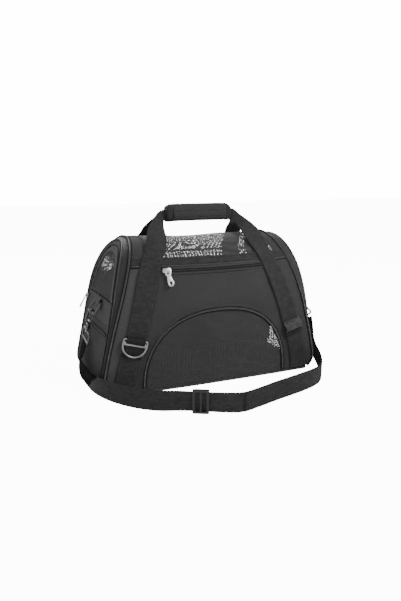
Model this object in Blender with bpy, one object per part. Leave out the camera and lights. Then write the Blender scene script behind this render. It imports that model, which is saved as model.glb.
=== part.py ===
"""A soft-sided pet carrier bag: arched fabric shell, mesh doors, webbing handles and a shoulder strap.

Metres, +Z up. The bag's long side runs along X, its front face looks towards -Y, and the origin is
the middle of the base, on the surface that the bag stands on. Left and right are as seen from the
front.
"""

import math

import bmesh
import bpy
import numpy as np

# Driving dimensions of the bag.
LENGTH = 0.460
DEPTH = 0.205
HEIGHT = 0.283
WALL_TOP = 0.134  # height where the upright walls start to curve over
ARCH_POWER = 2.3  # squareness of the arch, 2 is an ellipse
LEAN_LINEAR = 0.17  # the two ends lean in by LEAN_LINEAR * z + LEAN_SQUARE * z * z
LEAN_SQUARE = 0.435
CORNER = 0.038  # radius of the shell's lower corners, as seen from the front
SEAM_Z = 0.236  # height where the front and rear panels end and the top begins
FRONT_BULGE = 0.028
REAR_BULGE = 0.020
BASE_BULGE = 0.004

# Cloth and cord stock.
SKIN = 0.0022
MESH = 0.0014
GAP = 0.0005
PIPE_RADIUS = 0.0022
PIPE_SINK = -0.0012
PIPE_CLEAR = 0.0028  # from a piping's centre line to the edge of the panel beside it
WEBBING_WIDTH = 0.038
WEBBING_THICK = 0.0016
WEBBING_OUT = 0.0015  # gap under the handle webbing, which runs over the seam piping
SKIRT_Z = 0.0062  # lower edge of the walls, just above the base piping
BASE_PIPE_Z = 0.0027

# Window, doors and top.
WINDOW_HALF = 0.149
WINDOW_TOP = 0.1515
WINDOW_POWER = 2.3
TOP_BAND = {"left": 0.0285, "right": 0.022}
END_INSET = 0.010  # the inner piping sits this far in from the shell
END_DROP = 0.005
# How far the end panels stand proud of the shell's ends, by height, for the left (-1) and the right end.
END_STEP_LOW = 0.003
END_STEP_Z = (0.0, 0.060, 0.134, 0.160, 0.187, 0.214, 0.235, 0.262, 0.283)
END_STEP = {
    -1: (END_STEP_LOW, 0.0040, 0.0065, 0.0090, 0.0120, 0.0145, 0.0150, 0.0120, 0.0085),
    1: (END_STEP_LOW, 0.0045, 0.0105, 0.0135, 0.0170, 0.0210, 0.0235, 0.0240, 0.0240),
}
END_STEP_CURVE = {side: np.polyfit(END_STEP_Z, steps, 4) for side, steps in END_STEP.items()}
BORDER_WIDTH = 0.012
DOOR_BORDER = 0.010
BELT_LOW = 0.128
BELT_HIGH = 0.170
DOOR_LOW = 0.1715

# Hidden wire arches that keep the two ends open.
WIRE_RADIUS = 0.0015
WIRE_FOOT = 0.009
WIRE_BACK = 0.012
WIRE_INSET = 0.0065

# Grip.
GRIP_SHIFT = 0.006
GRIP_HALF = 0.0705
GRIP_Z = 0.325
GRIP_TALL = 0.034
GRIP_DEEP = 0.024
GRIP_WALL = 0.0028
GRIP_END_SHORT = (0.020, 0.011, 0.004, 0.0)  # towards an end, the grip's top comes down
GRIP_END_DROP = (0.0, 0.0008, 0.0040, 0.0080)
GRIP_END_NARROW = 22  # share of its depth that it loses per metre of that
GRIP_WEBBING = 0.018  # the handles are folded in half inside the grip
GRIP_SPREAD = 0.0026

# Hardware.
RING_WIRE = 0.00175
RING_HALF = 0.0235
RING_DROP = 0.026
RING_Z = 0.161
D_WIRE = 0.0015
D_HALF = 0.0216
D_TALL = 0.0315
RING_TAB_X = 0.1650
RING_TAB_Z = 0.107
RING_TILT = {"left": 24.0, "right": 20.0}  # how far each end ring is pulled off its panel
ADJUSTER = (-0.0925, -0.2380, 0.0222)
STRAP_WIDTH = 0.037
STRAP_THICK = 0.0020

# Zips.
FRONT_ZIP_Z = 0.2275
FRONT_ZIP_HALF = 0.108
FRONT_SLIDER_X = -0.1005
DOOR_SLIDER_Z = 0.157
POCKET_ZIP_Z = 0.112
POCKET_ZIP_HALF = 0.076
POCKET_SLIDER_Y = 0.042
PULL_HINGE = 0.0055  # a pull's axis, this far out from the tape
FRONT_PULL_TILT = 12.0
DOOR_PULL_SWING = {"left": 18.0, "right": 0.0}  # how far a door's pull stands away from the end, at rest
DOOR_PULL_SIZE = {"left": (0.029, 0.0042), "right": (0.022, 0.0035)}

CABIN_MIDDLE = np.array([0.0, 0.0, 0.10])
SIDES = {"left": -1, "right": 1}
FACES = {"front": -1, "rear": 1}

# The shoulder strap's centre line, from the left snap hook round the front to the right one.
STRAP_ROUTE = [
    (-0.2300, 0.0150, 0.0790), (-0.2345, 0.0200, 0.0600), (-0.2390, 0.0205, 0.0440),
    (-0.2425, 0.0110, 0.0335), (-0.2435, -0.0130, 0.0270), (-0.2420, -0.0450, 0.0245),
    (-0.2365, -0.0830, 0.0230), (-0.2185, -0.1250, 0.0210), (-0.1905, -0.1670, 0.0197),
    (-0.1585, -0.1985, 0.0205), (-0.1250, -0.2190, 0.0222), (-0.0925, -0.2380, 0.0222),
    (-0.0600, -0.2570, 0.0222), (-0.0260, -0.2650, 0.0202), (0.0090, -0.2550, 0.0195),
    (0.0560, -0.2390, 0.0195), (0.1120, -0.2220, 0.0195), (0.1600, -0.2040, 0.0195),
    (0.1900, -0.1810, 0.0192), (0.2155, -0.1440, 0.0195), (0.2360, -0.1040, 0.0212),
    (0.2455, -0.0760, 0.0295), (0.2510, -0.0550, 0.0460), (0.2550, -0.0420, 0.0680),
    (0.2560, -0.0330, 0.0900),
]
STRAP_ENDS = {"left": STRAP_ROUTE[0], "right": STRAP_ROUTE[-1]}

# One leg of a handle on the wall: how far along X from the middle, and how high.
HANDLE_LEG = [
    (0.1865, 0.0085), (0.1850, 0.030), (0.1770, 0.065), (0.1650, 0.100), (0.1535, 0.140),
    (0.1430, 0.172), (0.1320, 0.204), (0.1200, 0.236), (0.1130, 0.2515),
]
# Its free stretch up to the grip: x, y, z and how much the face looks up.
HANDLE_RISE = [
    (0.1035, 0.0600, 0.2770, 0.80), (0.0960, 0.0360, 0.2960, 0.60), (0.0855, 0.0130, 0.3105, 0.20),
    (0.0775, 0.0036, 0.3194, 0.03), (0.0680, GRIP_SPREAD, 0.3222, 0.0), (0.0350, GRIP_SPREAD, 0.3222, 0.0),
]
# How far each leg of the front (face -1) and the rear handle leans to the right, by height.
HANDLE_DRIFT_Z = (0.100, 0.200, 0.236, 0.280, 0.320)
HANDLE_DRIFT = {
    (-1, -1): (0.0, -0.0065, -0.0075, 0.0, 0.006), (-1, 1): (0.0, -0.0065, -0.0075, 0.0, 0.006),
    (1, -1): (0.0, 0.0060, 0.0085, 0.024, 0.006), (1, 1): (0.0, 0.0025, 0.0040, 0.012, 0.006),
}
FOLD_LOW = 0.290  # the handles are folded narrow from here up to FOLD_HIGH
FOLD_HIGH = 0.316


def unit(vector):
    return np.asarray(vector, float) / np.linalg.norm(vector)


def half_length(z):
    """Half the shell's length at height z: its ends lean in, and below they round off into the base."""
    fall = max(1 - z / CORNER, 0)
    rounding = CORNER * (1 - math.sqrt(max(1 - fall * fall, 0)))
    return LENGTH / 2 - LEAN_LINEAR * z - LEAN_SQUARE * z * z - rounding


def panel_edge(z):
    """Where a panel stops short of the piping along the shell's end."""
    near = 1e-4
    slope = (half_length(z + near) - half_length(z - near)) / (2 * near)
    return half_length(z) - PIPE_CLEAR * math.hypot(1, slope)


def measure_section():
    """The shell's half section in the YZ plane, from the ridge down to the base, with its arc length."""
    turn = np.linspace(0, math.pi / 2, 181)
    y = DEPTH / 2 * np.sin(turn) ** (2 / ARCH_POWER)
    z = WALL_TOP + (HEIGHT - WALL_TOP) * np.cos(turn) ** (2 / ARCH_POWER)
    y = np.append(y, DEPTH / 2)
    z = np.append(z, 0.0)
    run = np.concatenate([[0], np.cumsum(np.hypot(np.diff(y), np.diff(z)))])
    return run, y, z


SECTION_RUN, SECTION_Y, SECTION_Z = measure_section()


def section(run):
    """(y, z) at a signed arc length from the ridge, negative on the front."""
    y = np.interp(abs(run), SECTION_RUN, SECTION_Y)
    return math.copysign(y, run), float(np.interp(abs(run), SECTION_RUN, SECTION_Z))


def run_at(z):
    return float(np.interp(-z, -SECTION_Z, SECTION_RUN))


SEAM_RUN = run_at(SEAM_Z)
SKIRT_RUN = run_at(SKIRT_Z)
SEAM_Y = abs(section(SEAM_RUN)[0])


def shell(across, run):
    """The shell's outer skin. across goes from -1 at the left end to 1 at the right end."""
    y, z = section(run)
    bulge = FRONT_BULGE if run < 0 else REAR_BULGE
    if z < SEAM_Z:
        swell = BASE_BULGE + (bulge - BASE_BULGE) * z / SEAM_Z
    else:
        swell = bulge * abs(y) / SEAM_Y
    y += math.copysign(swell * (1 - across**2), run)
    return np.array([across * half_length(z), y, z])


def wall(face, x, z):
    """The shell's skin at a place on its front (face -1) or rear (face 1)."""
    return shell(x / half_length(z), face * run_at(z))


def end_x(side, z):
    """How far out an end panel stands at height z."""
    return half_length(z) + np.polyval(END_STEP_CURVE[side], min(max(z, 0), HEIGHT))


def end_outline(side, run, inset, drop):
    """A point on an end panel, on the arch outline brought in by inset at the walls and drop at the ridge."""
    y, z = section(run)
    y *= 1 - inset / (DEPTH / 2)
    z *= 1 - drop / HEIGHT
    return np.array([side * end_x(side, z), y, z])


def end_strip(side, low, outer, inner):
    """A strip of an end panel between two outlines, each (inset, drop), with both feet at height low."""

    def skin(t, r):
        points = []
        for inset, drop in (outer, inner):
            foot = run_at(low / (1 - drop / HEIGHT))
            points.append(end_outline(side, foot * (2 * t - 1), inset, drop))
        _, y, z = points[0] + (points[1] - points[0]) * r
        return np.array([side * end_x(side, z), y, z])

    return skin


def foot_shares(height, count):
    """Shares of a height, closely spaced through the round of the lower corners and then count even steps."""
    close = np.array([0, 0.005, 0.011, 0.018, 0.027, 0.038]) / height
    return np.concatenate([close, np.linspace(close[-1], 1, count + 1)[1:]])


def arch_shares(length, count):
    """The same from both feet of an arch of that half length, from -1 over the ridge to 1."""
    half = foot_shares(length, count)
    return np.concatenate([half - 1, (1 - half)[::-1][1:]])


def end_half_depth(z, inset, drop):
    """Half the width, at height z, of the outline that end_outline draws."""
    full = z / (1 - drop / HEIGHT)
    return abs(section(run_at(full))[0]) * (1 - inset / (DEPTH / 2))


def lifted(surface, a, b, out):
    """A surface's point moved along its normal, away from the cabin."""
    step = 1e-4
    along_a = surface(a + step, b) - surface(a - step, b)
    along_b = surface(a, b + step) - surface(a, b - step)
    normal = unit(np.cross(along_a, along_b))
    point = surface(a, b)
    if normal @ (point - CABIN_MIDDLE) < 0:
        normal = -normal
    return point + out * normal


# Building blocks.


def material(name, color, roughness, metallic=0.0):
    made = bpy.data.materials.get(name)
    if made:
        return made
    made = bpy.data.materials.new(name)
    made.use_nodes = True
    shader = made.node_tree.nodes["Principled BSDF"]
    shader.inputs["Base Color"].default_value = (*color, 1.0)
    shader.inputs["Roughness"].default_value = roughness
    shader.inputs["Metallic"].default_value = metallic
    return made


def fabric():
    return material("fabric", (0.055, 0.055, 0.058), 0.85)


def mesh_cloth():
    return material("mesh", (0.10, 0.10, 0.105), 0.7)


def webbing():
    return material("webbing", (0.032, 0.032, 0.034), 0.75)


def piping():
    return material("piping", (0.07, 0.07, 0.073), 0.6)


def steel():
    return material("steel", (0.72, 0.72, 0.74), 0.25, 1.0)


def plastic():
    return material("plastic", (0.03, 0.03, 0.03), 0.45)


def board():
    return material("board", (0.05, 0.05, 0.05), 0.7)


def make_object(name, vertices, faces, finish, origin=(0, 0, 0), smooth_angle=40):
    mesh = bpy.data.meshes.new(name)
    origin = np.asarray(origin, float)
    mesh.from_pydata([tuple(np.asarray(v) - origin) for v in vertices], [], faces)
    shape = bmesh.new()
    shape.from_mesh(mesh)
    bmesh.ops.recalc_face_normals(shape, faces=shape.faces)
    shape.to_mesh(mesh)
    shape.free()
    mesh.shade_smooth()
    mesh.set_sharp_from_angle(angle=math.radians(smooth_angle))
    mesh.materials.append(finish)
    made = bpy.data.objects.new(name, mesh)
    made.location = origin
    bpy.context.scene.collection.objects.link(made)
    return made


def loft(name, rings, finish, closed=False, origin=(0, 0, 0)):
    """A solid through a list of rings of points, with its two ends capped unless it closes on itself."""
    count = len(rings[0])
    vertices = [point for ring in rings for point in ring]
    faces = []
    last = len(rings) if closed else len(rings) - 1
    for i in range(last):
        here = i * count
        there = (i + 1) % len(rings) * count
        for k in range(count):
            after = (k + 1) % count
            faces.append((here + k, here + after, there + after, there + k))
    if not closed:
        faces.append(tuple(range(count)))
        faces.append(tuple(reversed(range(len(vertices) - count, len(vertices)))))
    return make_object(name, vertices, faces, finish, origin)


def plate(name, surface, a_values, b_values, inner, outer, finish, origin=(0, 0, 0)):
    """A closed sheet between two offsets of a surface, over a grid of its two coordinates."""
    rings = []
    for a in a_values:
        ring = [lifted(surface, a, b, outer) for b in b_values]
        ring += [lifted(surface, a, b, inner) for b in reversed(b_values)]
        rings.append(ring)
    vertices = [point for ring in rings for point in ring]
    count = len(rings[0])
    faces = []
    for i in range(len(rings) - 1):
        for k in range(count):
            after = (k + 1) % count
            faces.append((i * count + k, i * count + after, (i + 1) * count + after, (i + 1) * count + k))
    for start in (0, (len(rings) - 1) * count):
        for k in range(count // 2 - 1):
            faces.append((start + k, start + k + 1, start + count - 2 - k, start + count - 1 - k))
    return make_object(name, vertices, faces, finish, origin)


def smooth(points, per_span):
    """Points along a smooth curve through the given ones."""
    p = np.array(points, float)
    p = np.vstack([2 * p[0] - p[1], p, 2 * p[-1] - p[-2]])
    curve = []
    for i in range(1, len(p) - 2):
        for k in range(per_span):
            t = k / per_span
            cubic = 3 * p[i] - p[i - 1] - 3 * p[i + 1] + p[i + 2]
            square = 2 * p[i - 1] - 5 * p[i] + 4 * p[i + 1] - p[i + 2]
            curve.append(p[i] + 0.5 * ((p[i + 1] - p[i - 1]) * t + square * t**2 + cubic * t**3))
    curve.append(p[-2])
    return np.array(curve)


def tangents(path, closed=False):
    if closed:
        steps = np.roll(path, -1, axis=0) - np.roll(path, 1, axis=0)
    else:
        steps = np.gradient(path, axis=0)
    return steps / np.linalg.norm(steps, axis=1)[:, None]


def tube(name, path, radius, finish, closed=False, sides=6, origin=(0, 0, 0)):
    path = np.asarray(path, float)
    along = tangents(path, closed)
    side = np.cross(along[0], (0.31, 0.57, 0.76))
    rings = []
    for point, direction in zip(path, along):
        side = unit(side - direction * (side @ direction))
        other = np.cross(direction, side)
        ring = []
        for k in range(sides):
            turn = 2 * math.pi * k / sides
            ring.append(point + radius * (math.cos(turn) * side + math.sin(turn) * other))
        rings.append(ring)
    if closed:
        rings = settle_twist(rings, sides)
    return loft(name, rings, finish, closed, origin)


def settle_twist(rings, sides):
    """Turns the rings little by little, so that the last one meets the first."""
    first = np.array(rings[0])
    middle = first.mean(axis=0)
    last = np.array(rings[-1]) - np.array(rings[-1]).mean(axis=0) + middle
    gaps = [np.linalg.norm(np.roll(last, -shift, axis=0) - first) for shift in range(sides)]
    shift = int(np.argmin(gaps))
    if shift > sides // 2:
        shift -= sides
    settled = []
    for i, ring in enumerate(rings):
        centre = np.mean(ring, axis=0)
        spoke = np.array(ring) - centre
        axis = unit(np.cross(spoke[0], spoke[1]))
        turn = -2 * math.pi * shift / sides * -i / (len(rings) - 1)
        side = np.cross(axis, spoke)
        settled.append(list(centre + math.cos(turn) * spoke + math.sin(turn) * side))
    return settled


def ribbon(name, path, normals, widths, thick, finish, origin=(0, 0, 0)):
    """A flat strap along a path; normals point out of its face and thick is centred on the path."""
    along = tangents(path)
    rings = []
    for point, direction, normal, width in zip(path, along, normals, widths):
        across = unit(np.cross(direction, normal))
        out = np.cross(across, direction)
        corners = ((-1, -1), (1, -1), (1, 1), (-1, 1))
        rings.append([point + across * width / 2 * a + out * thick / 2 * b for a, b in corners])
    return loft(name, rings, finish, origin=origin)


def unite(base, extras):
    for extra in extras:
        extra.hide_render = True
        extra.display_type = "WIRE"
        union = base.modifiers.new("Join " + extra.name, "BOOLEAN")
        union.operation = "UNION"
        union.object = extra
    return base


class Place:
    """A local frame on the bag: across, up and out are unit vectors, at is its origin."""

    def __init__(self, at, across, up):
        self.at = np.asarray(at, float)
        self.across = unit(across)
        self.up = unit(np.asarray(up, float) - self.across * (np.asarray(up, float) @ self.across))
        self.out = np.cross(self.across, self.up)

    def point(self, across, up, out):
        return self.at + across * self.across + up * self.up + out * self.out

    def turned(self, degrees):
        """The same place with its across axis turned in its own face."""
        turn = math.radians(degrees)
        across = math.cos(turn) * self.across + math.sin(turn) * self.up
        up = math.cos(turn) * self.up - math.sin(turn) * self.across
        return Place(self.at, across, up)

    def swung(self, degrees, height):
        """The same place turned about the line along across at a height over it, its lower side lifted."""
        turn = math.radians(degrees)
        place = Place(self.at, self.across, math.cos(turn) * self.up - math.sin(turn) * self.out)
        place.at = self.point(0, 0, height) - height * place.out
        return place


def wall_place(face, x, z, out=0.0):
    """On the front or rear wall, with out pointing away from the bag."""
    near = 1e-4
    across = wall(face, x + near, z) - wall(face, x - near, z)
    up = wall(face, x, z + near) - wall(face, x, z - near)
    if face > 0:
        across = -across
    place = Place(wall(face, x, z), across, up)
    place.at = place.point(0, 0, out)
    return place


def end_place(side, y, z, out=0.0):
    """On an end panel; across runs along -Y on the left end and along +Y on the right."""
    near = 1e-4
    up = (side * (end_x(side, z + near) - end_x(side, z - near)), 0, 2 * near)
    place = Place((side * end_x(side, z), y, z), (0, side, 0), up)
    place.at = place.point(0, 0, out)
    return place


def slab(name, place, outline, low, high, finish, bevel=0.0, origin=(0, 0, 0)):
    """An outline in the across-up plane of a place, thickened from low to high along out."""
    bottom = [place.point(a, u, low) for a, u in outline]
    top = [place.point(a, u, high) for a, u in outline]
    made = loft(name, [bottom, top], finish, origin=origin)
    if bevel:
        rounding = made.modifiers.new("Soft edges", "BEVEL")
        rounding.width = bevel
        rounding.segments = 2
        rounding.limit_method = "ANGLE"
        rounding.angle_limit = math.radians(40)
    return made


def bar(name, place, sketch, half_width, thick, finish, origin=(0, 0, 0)):
    """A strap bent in the up-out plane of a place, half_width to each side."""
    sketch = np.array(sketch, float)
    along = tangents(sketch)
    square = np.stack([-along[:, 1], along[:, 0]], axis=1)
    rings = []
    for (u, o), (du, do) in zip(sketch, square * thick / 2):
        corners = ((-1, -1), (1, -1), (1, 1), (-1, 1))
        rings.append([place.point(half_width * a, u + du * b, o + do * b) for a, b in corners])
    return loft(name, rings, finish, origin=origin)


# The shell.


def window_outline(t, grow):
    """The arched window in the XZ plane, from its lower left corner over the top to the lower right."""
    turn = math.pi * (1 - t)
    x = math.copysign(abs(math.cos(turn)) ** (2 / WINDOW_POWER), math.cos(turn))
    z = abs(math.sin(turn)) ** (2 / WINDOW_POWER)
    return (WINDOW_HALF + grow) * x, SKIRT_Z + (WINDOW_TOP + grow - SKIRT_Z) * z


def front_outline(t):
    """The front panel's outer edge, cornered at a quarter and three quarters of t."""
    top = SEAM_Z - PIPE_CLEAR
    if 0.25 <= t <= 0.75:
        return (t - 0.5) * 4 * panel_edge(top), top
    z = SKIRT_Z + (top - SKIRT_Z) * min(t, 1 - t) * 4
    return math.copysign(panel_edge(z), t - 0.5), z


def build_front_panel():
    def skin(t, r):
        t = min(max(t, 0), 1)
        inner = np.array(window_outline(t, PIPE_CLEAR))
        outer = np.array(front_outline(t))
        x, z = inner + (outer - inner) * r
        return wall(-1, x, z)

    side = foot_shares(SEAM_Z - SKIRT_Z, 7) / 4
    t_values = np.concatenate([side, np.linspace(0.25, 0.75, 17)[1:-1], 1 - side[::-1]])
    plate("front_panel", skin, t_values, list(np.linspace(0, 1, 4)), -SKIN, 0, fabric())


def build_window():
    def cloth(a, b):
        z = SKIRT_Z + (WINDOW_TOP - PIPE_CLEAR - SKIRT_Z) * (1 - (1 - a) ** 2)
        rise = min(max((z - SKIRT_Z) / (WINDOW_TOP - PIPE_CLEAR - SKIRT_Z), 0), 0.9995)
        half = (WINDOW_HALF - PIPE_CLEAR) * (1 - rise**WINDOW_POWER) ** (1 / WINDOW_POWER)
        return wall(-1, half * (2 * b - 1), z)

    rows = np.linspace(0.001, 0.995, 10)
    columns = list(np.linspace(0, 1, 9))
    plate("window_mesh", cloth, rows, columns, -SKIN, -SKIN + MESH, mesh_cloth())
    path = []
    for t in np.linspace(0.004, 0.996, 33):
        x, z = window_outline(t, 0)
        path.append(wall_place(-1, x, z).point(0, 0, -0.0004))
    tube("window_piping", path, PIPE_RADIUS, piping())


def build_rear_panel():
    def skin(a, b):
        z = SKIRT_Z + (SEAM_Z - PIPE_CLEAR - SKIRT_Z) * a
        return wall(1, panel_edge(z) * (2 * b - 1), z)

    rows = foot_shares(SEAM_Z - SKIRT_Z, 7)
    plate("rear_panel", skin, rows, list(np.linspace(0, 1, 11)), -SKIN, 0, fabric())


def build_top():
    reach = SEAM_RUN - PIPE_CLEAR
    runs = np.linspace(-reach, reach, 17)

    def strip(start, end):
        """A strip across the top between two lines, each a side and how far in from its end."""

        def skin(run, b):
            edge = half_length(section(run)[1])
            x = start[0] * (edge - start[1]) * (1 - b) + end[0] * (edge - end[1]) * b
            return shell(x / edge, run)

        return skin

    for name, side in SIDES.items():
        skin = strip((side, TOP_BAND[name]), (side, PIPE_CLEAR))
        plate(f"top_{name}_band", skin, runs, [0.0, 1.0], -SKIN, 0, fabric())
    skin = strip((-1, TOP_BAND["left"] + GAP), (1, TOP_BAND["right"] + GAP))
    plate("top_mesh", skin, runs, list(np.linspace(0, 1, 7)), -SKIN, -SKIN + MESH, mesh_cloth())
    for name, face in FACES.items():
        path = [lifted(shell, a, face * SEAM_RUN, PIPE_SINK) for a in np.linspace(-0.982, 0.982, 19)]
        tube(f"{name}_seam_piping", path, PIPE_RADIUS, piping())


def build_base():
    """The base panel with its piping, the stiffening board and the padded mat."""
    loop = []
    base_half = half_length(BASE_PIPE_Z)
    front_reach = base_half - 0.004
    end_reach = DEPTH / 2 - 0.012
    for x in np.linspace(-front_reach, front_reach, 17):
        loop.append((x, -DEPTH / 2 - BASE_BULGE * (1 - (x / front_reach) ** 2)))
    for y in np.linspace(-end_reach, end_reach, 5):
        loop.append((base_half + END_STEP_LOW, y))
    loop += [(-x, -y) for x, y in loop]
    loop = np.array(loop)
    inset = loop * (1 - 0.0036 / np.array([LENGTH / 2, DEPTH / 2]))
    path = np.column_stack([loop, np.full(len(loop), BASE_PIPE_Z)])
    tube("base_piping", path, PIPE_RADIUS, piping(), closed=True)
    rings = [[(x, y, z) for x, y in inset] for z in (0, 0.003)]
    loft("base_panel", rings, fabric())
    flat = Place((0, 0, 0), (1, 0, 0), (0, 1, 0))
    slab("base_board", flat, rounded(0.200, 0.092, 0.010), 0.0034, 0.0066, board())
    slab("pet_mat", flat, rounded(0.205, 0.088, 0.016), 0.0070, 0.0230, fabric(), 0.005, (0, 0, 0.007))


def rounded(half_x, half_y, radius, steps=6):
    """The outline of a rectangle with round corners."""
    outline = []
    for corner, (cx, cy) in enumerate(((1, 1), (-1, 1), (-1, -1), (1, -1))):
        for k in range(steps + 1):
            turn = math.pi / 2 * (corner + k / steps)
            x = cx * (half_x - radius) + radius * math.cos(turn)
            outline.append((x, cy * (half_y - radius) + radius * math.sin(turn)))
    return outline


# The two ends.


def build_end(name, side):
    """Pipings, gusset, border, belt, door and lower panel of one end."""

    def corner(run):
        y, z = section(run)
        return np.array([side * half_length(z), y, z])

    def gusset(run, r):
        inner = end_outline(side, run, END_INSET, END_DROP)
        width = np.linalg.norm(inner - corner(run))
        return corner(run) + (inner - corner(run)) * (PIPE_CLEAR + (width - 2 * PIPE_CLEAR) * r) / width

    def inner_seam(run, r):
        inner = end_outline(side, run, END_INSET, END_DROP)
        return corner(run) + (inner - corner(run)) * r

    shares = arch_shares(SKIRT_RUN, 15)
    runs = shares * SKIRT_RUN
    plate(f"{name}_gusset", gusset, runs, [0.0, 1.0], -SKIN, 0, fabric())
    outer = [corner(run) for run in runs]
    inner = [lifted(inner_seam, run, 1, PIPE_SINK) for run in runs]
    tube(f"{name}_outer_piping", outer, PIPE_RADIUS, piping())
    tube(f"{name}_inner_piping", inner, PIPE_RADIUS, piping())

    near = END_INSET + PIPE_CLEAR + GAP
    far = END_INSET + BORDER_WIDTH
    near_drop = END_DROP + PIPE_CLEAR + GAP
    far_drop = END_DROP + BORDER_WIDTH
    border = end_strip(side, SKIRT_Z, (near, near_drop), (far, far_drop))
    plate(f"{name}_end_border", border, (shares + 1) / 2, [0.0, 1.0], -SKIN, 0, fabric())

    def across(z, b, inset, drop):
        half = end_half_depth(z, inset, drop)
        return np.array([side * end_x(side, z), half * (2 * b - 1), z])

    inset = far + GAP
    drop = far_drop + GAP
    columns = [0.0, 1.0]

    def level(low, high):
        return lambda a, b: across(low + (high - low) * a, b, inset, drop)

    plate(f"{name}_belt", level(BELT_LOW, BELT_HIGH), np.linspace(0, 1, 5), columns, -SKIN, 0, fabric())
    lower = level(SKIRT_Z + GAP, BELT_LOW - GAP)
    rows = foot_shares(BELT_LOW - SKIRT_Z, 4)
    if side < 0:
        plate("left_lower_panel", lower, rows, columns, -SKIN, 0, fabric())
    else:
        plate("right_lower_mesh", lower, rows, columns, -SKIN, -SKIN + MESH, mesh_cloth())

    hinge = np.array([side * end_x(side, DOOR_LOW), 0.0, DOOR_LOW])
    door_top = HEIGHT - drop
    door_edge = (inset + DOOR_BORDER, drop + DOOR_BORDER)
    door_border = end_strip(side, DOOR_LOW, (inset, drop), door_edge)
    door_steps = np.linspace(0, 1, 31)
    plate(f"{name}_door_border", door_border, door_steps, [0.0, 1.0], -SKIN, 0, fabric(), hinge)
    mesh_inset = inset + DOOR_BORDER + GAP
    mesh_drop = drop + DOOR_BORDER + GAP
    mesh_top = door_top - DOOR_BORDER - GAP

    def cloth(a, b):
        z = DOOR_LOW + (mesh_top - DOOR_LOW) * (1 - (1 - min(a, 0.992)) ** 2)
        return across(z, b, mesh_inset, mesh_drop)

    rows = np.linspace(0, 0.985, 13)
    plate(f"{name}_door_mesh", cloth, rows, columns, -SKIN, -SKIN + MESH, mesh_cloth(), hinge)
    wire = []
    reach = run_at(WIRE_FOOT)
    for share in arch_shares(reach, 10):
        y, z = section(reach * share)
        x = half_length(z) - WIRE_BACK
        wire.append((side * x, y * (1 - WIRE_INSET / (DEPTH / 2)), z * (1 - WIRE_INSET / HEIGHT)))
    tube(f"{name}_frame_wire", wire, WIRE_RADIUS, steel())


# Zips.


def zip_slider(name, place, origin):
    """A slider body with a lug for its pull. It points along the place's across axis."""
    outline = [(-0.0055, -0.0028), (0.0035, -0.0042), (0.0055, -0.0020), (0.0055, 0.0020)]
    outline += [(0.0035, 0.0042), (-0.0055, 0.0028)]
    body = slab(name, place, outline, 0.0013, 0.0041, steel(), 0.0004, origin)
    lug = slab(name + "_lug", place, rounded(0.0022, 0.0020, 0.0008, 2), 0.0036, 0.0068, steel())
    return unite(body, [lug])


def zip_pull(name, place, length, half_width):
    """A flat pull that hangs down the up axis of a place, forked over the slider's lug."""
    slot = 0.0027
    root = half_width * 0.75 + 0.0012
    tip = 0.0009
    outline = [(-slot, tip), (-root, tip), (-root, -0.0035), (-half_width, -length + half_width)]
    for k in range(1, 8):
        turn = math.pi + math.pi * k / 8
        outline.append((half_width * math.cos(turn), -length + half_width + half_width * math.sin(turn)))
    outline += [(half_width, -length + half_width), (root, -0.0035), (root, tip), (slot, tip)]
    outline += [(slot, -0.0026), (-slot, -0.0026)]
    origin = place.point(0, 0, PULL_HINGE)
    pull = slab(name, place, outline, PULL_HINGE - 0.0007, PULL_HINGE + 0.0007, steel(), origin=origin)
    hole = slab(name + "_hole", place, rounded(0.0013, 0.0013, 0.0012, 3), 0.002, 0.009, steel())
    hole.location = place.up * (-length + half_width * 1.05)
    hole.hide_render = True
    hole.display_type = "WIRE"
    cut = pull.modifiers.new("Hole", "BOOLEAN")
    cut.operation = "DIFFERENCE"
    cut.object = hole
    return pull


def build_front_zip():
    def tape(a, b):
        z = FRONT_ZIP_Z + 0.010 * (b - 0.5)
        return wall(-1, FRONT_ZIP_HALF * (2 * a - 1), z)

    plate("front_zip", tape, np.linspace(0, 1, 21), [0.0, 1.0], 0.0003, 0.0009, webbing())
    place = wall_place(-1, FRONT_SLIDER_X, FRONT_ZIP_Z)
    zip_slider("front_slider", place, place.at)
    zip_pull("front_pull", place.turned(FRONT_PULL_TILT), 0.031, 0.0054)


def build_door_zip(name, side):
    """A slider at the rear foot of a door's zip, on the end border."""
    y = end_half_depth(DOOR_SLIDER_Z, END_INSET + 0.0074, END_DROP)
    place = end_place(side, y, DOOR_SLIDER_Z)
    spin = place.turned(90 if side < 0 else -90)
    zip_slider(f"{name}_door_slider", spin, place.at)
    length, half_width = DOOR_PULL_SIZE[name]
    zip_pull(f"{name}_door_pull", place.swung(DOOR_PULL_SWING[name], PULL_HINGE), length, half_width)


def build_pocket_zip():
    """The pocket across the left lower panel."""

    def tape(a, b):
        level = POCKET_ZIP_Z + 0.009 * (b - 0.5)
        return np.array([-end_x(-1, level), POCKET_ZIP_HALF * (2 * a - 1), level])

    plate("left_pocket_zip", tape, [0.0, 0.5, 1.0], [0.0, 0.5, 1.0], 0.0003, 0.0009, webbing())
    place = end_place(-1, POCKET_SLIDER_Y, POCKET_ZIP_Z)
    zip_slider("left_pocket_slider", place, place.at)
    zip_pull("left_pocket_pull", place, 0.022, 0.0035)


# Handles.


def handle_route(face):
    """Centre line and normals of one handle, from its left foot over the grip to its right foot."""
    left = handle_leg(face, -1)
    right = handle_leg(face, 1)
    route = left + right[::-1]
    points = smooth([at for at, normal in route], 3)
    normals = smooth([unit(normal) for at, normal in route], 3)
    return points, normals


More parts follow.
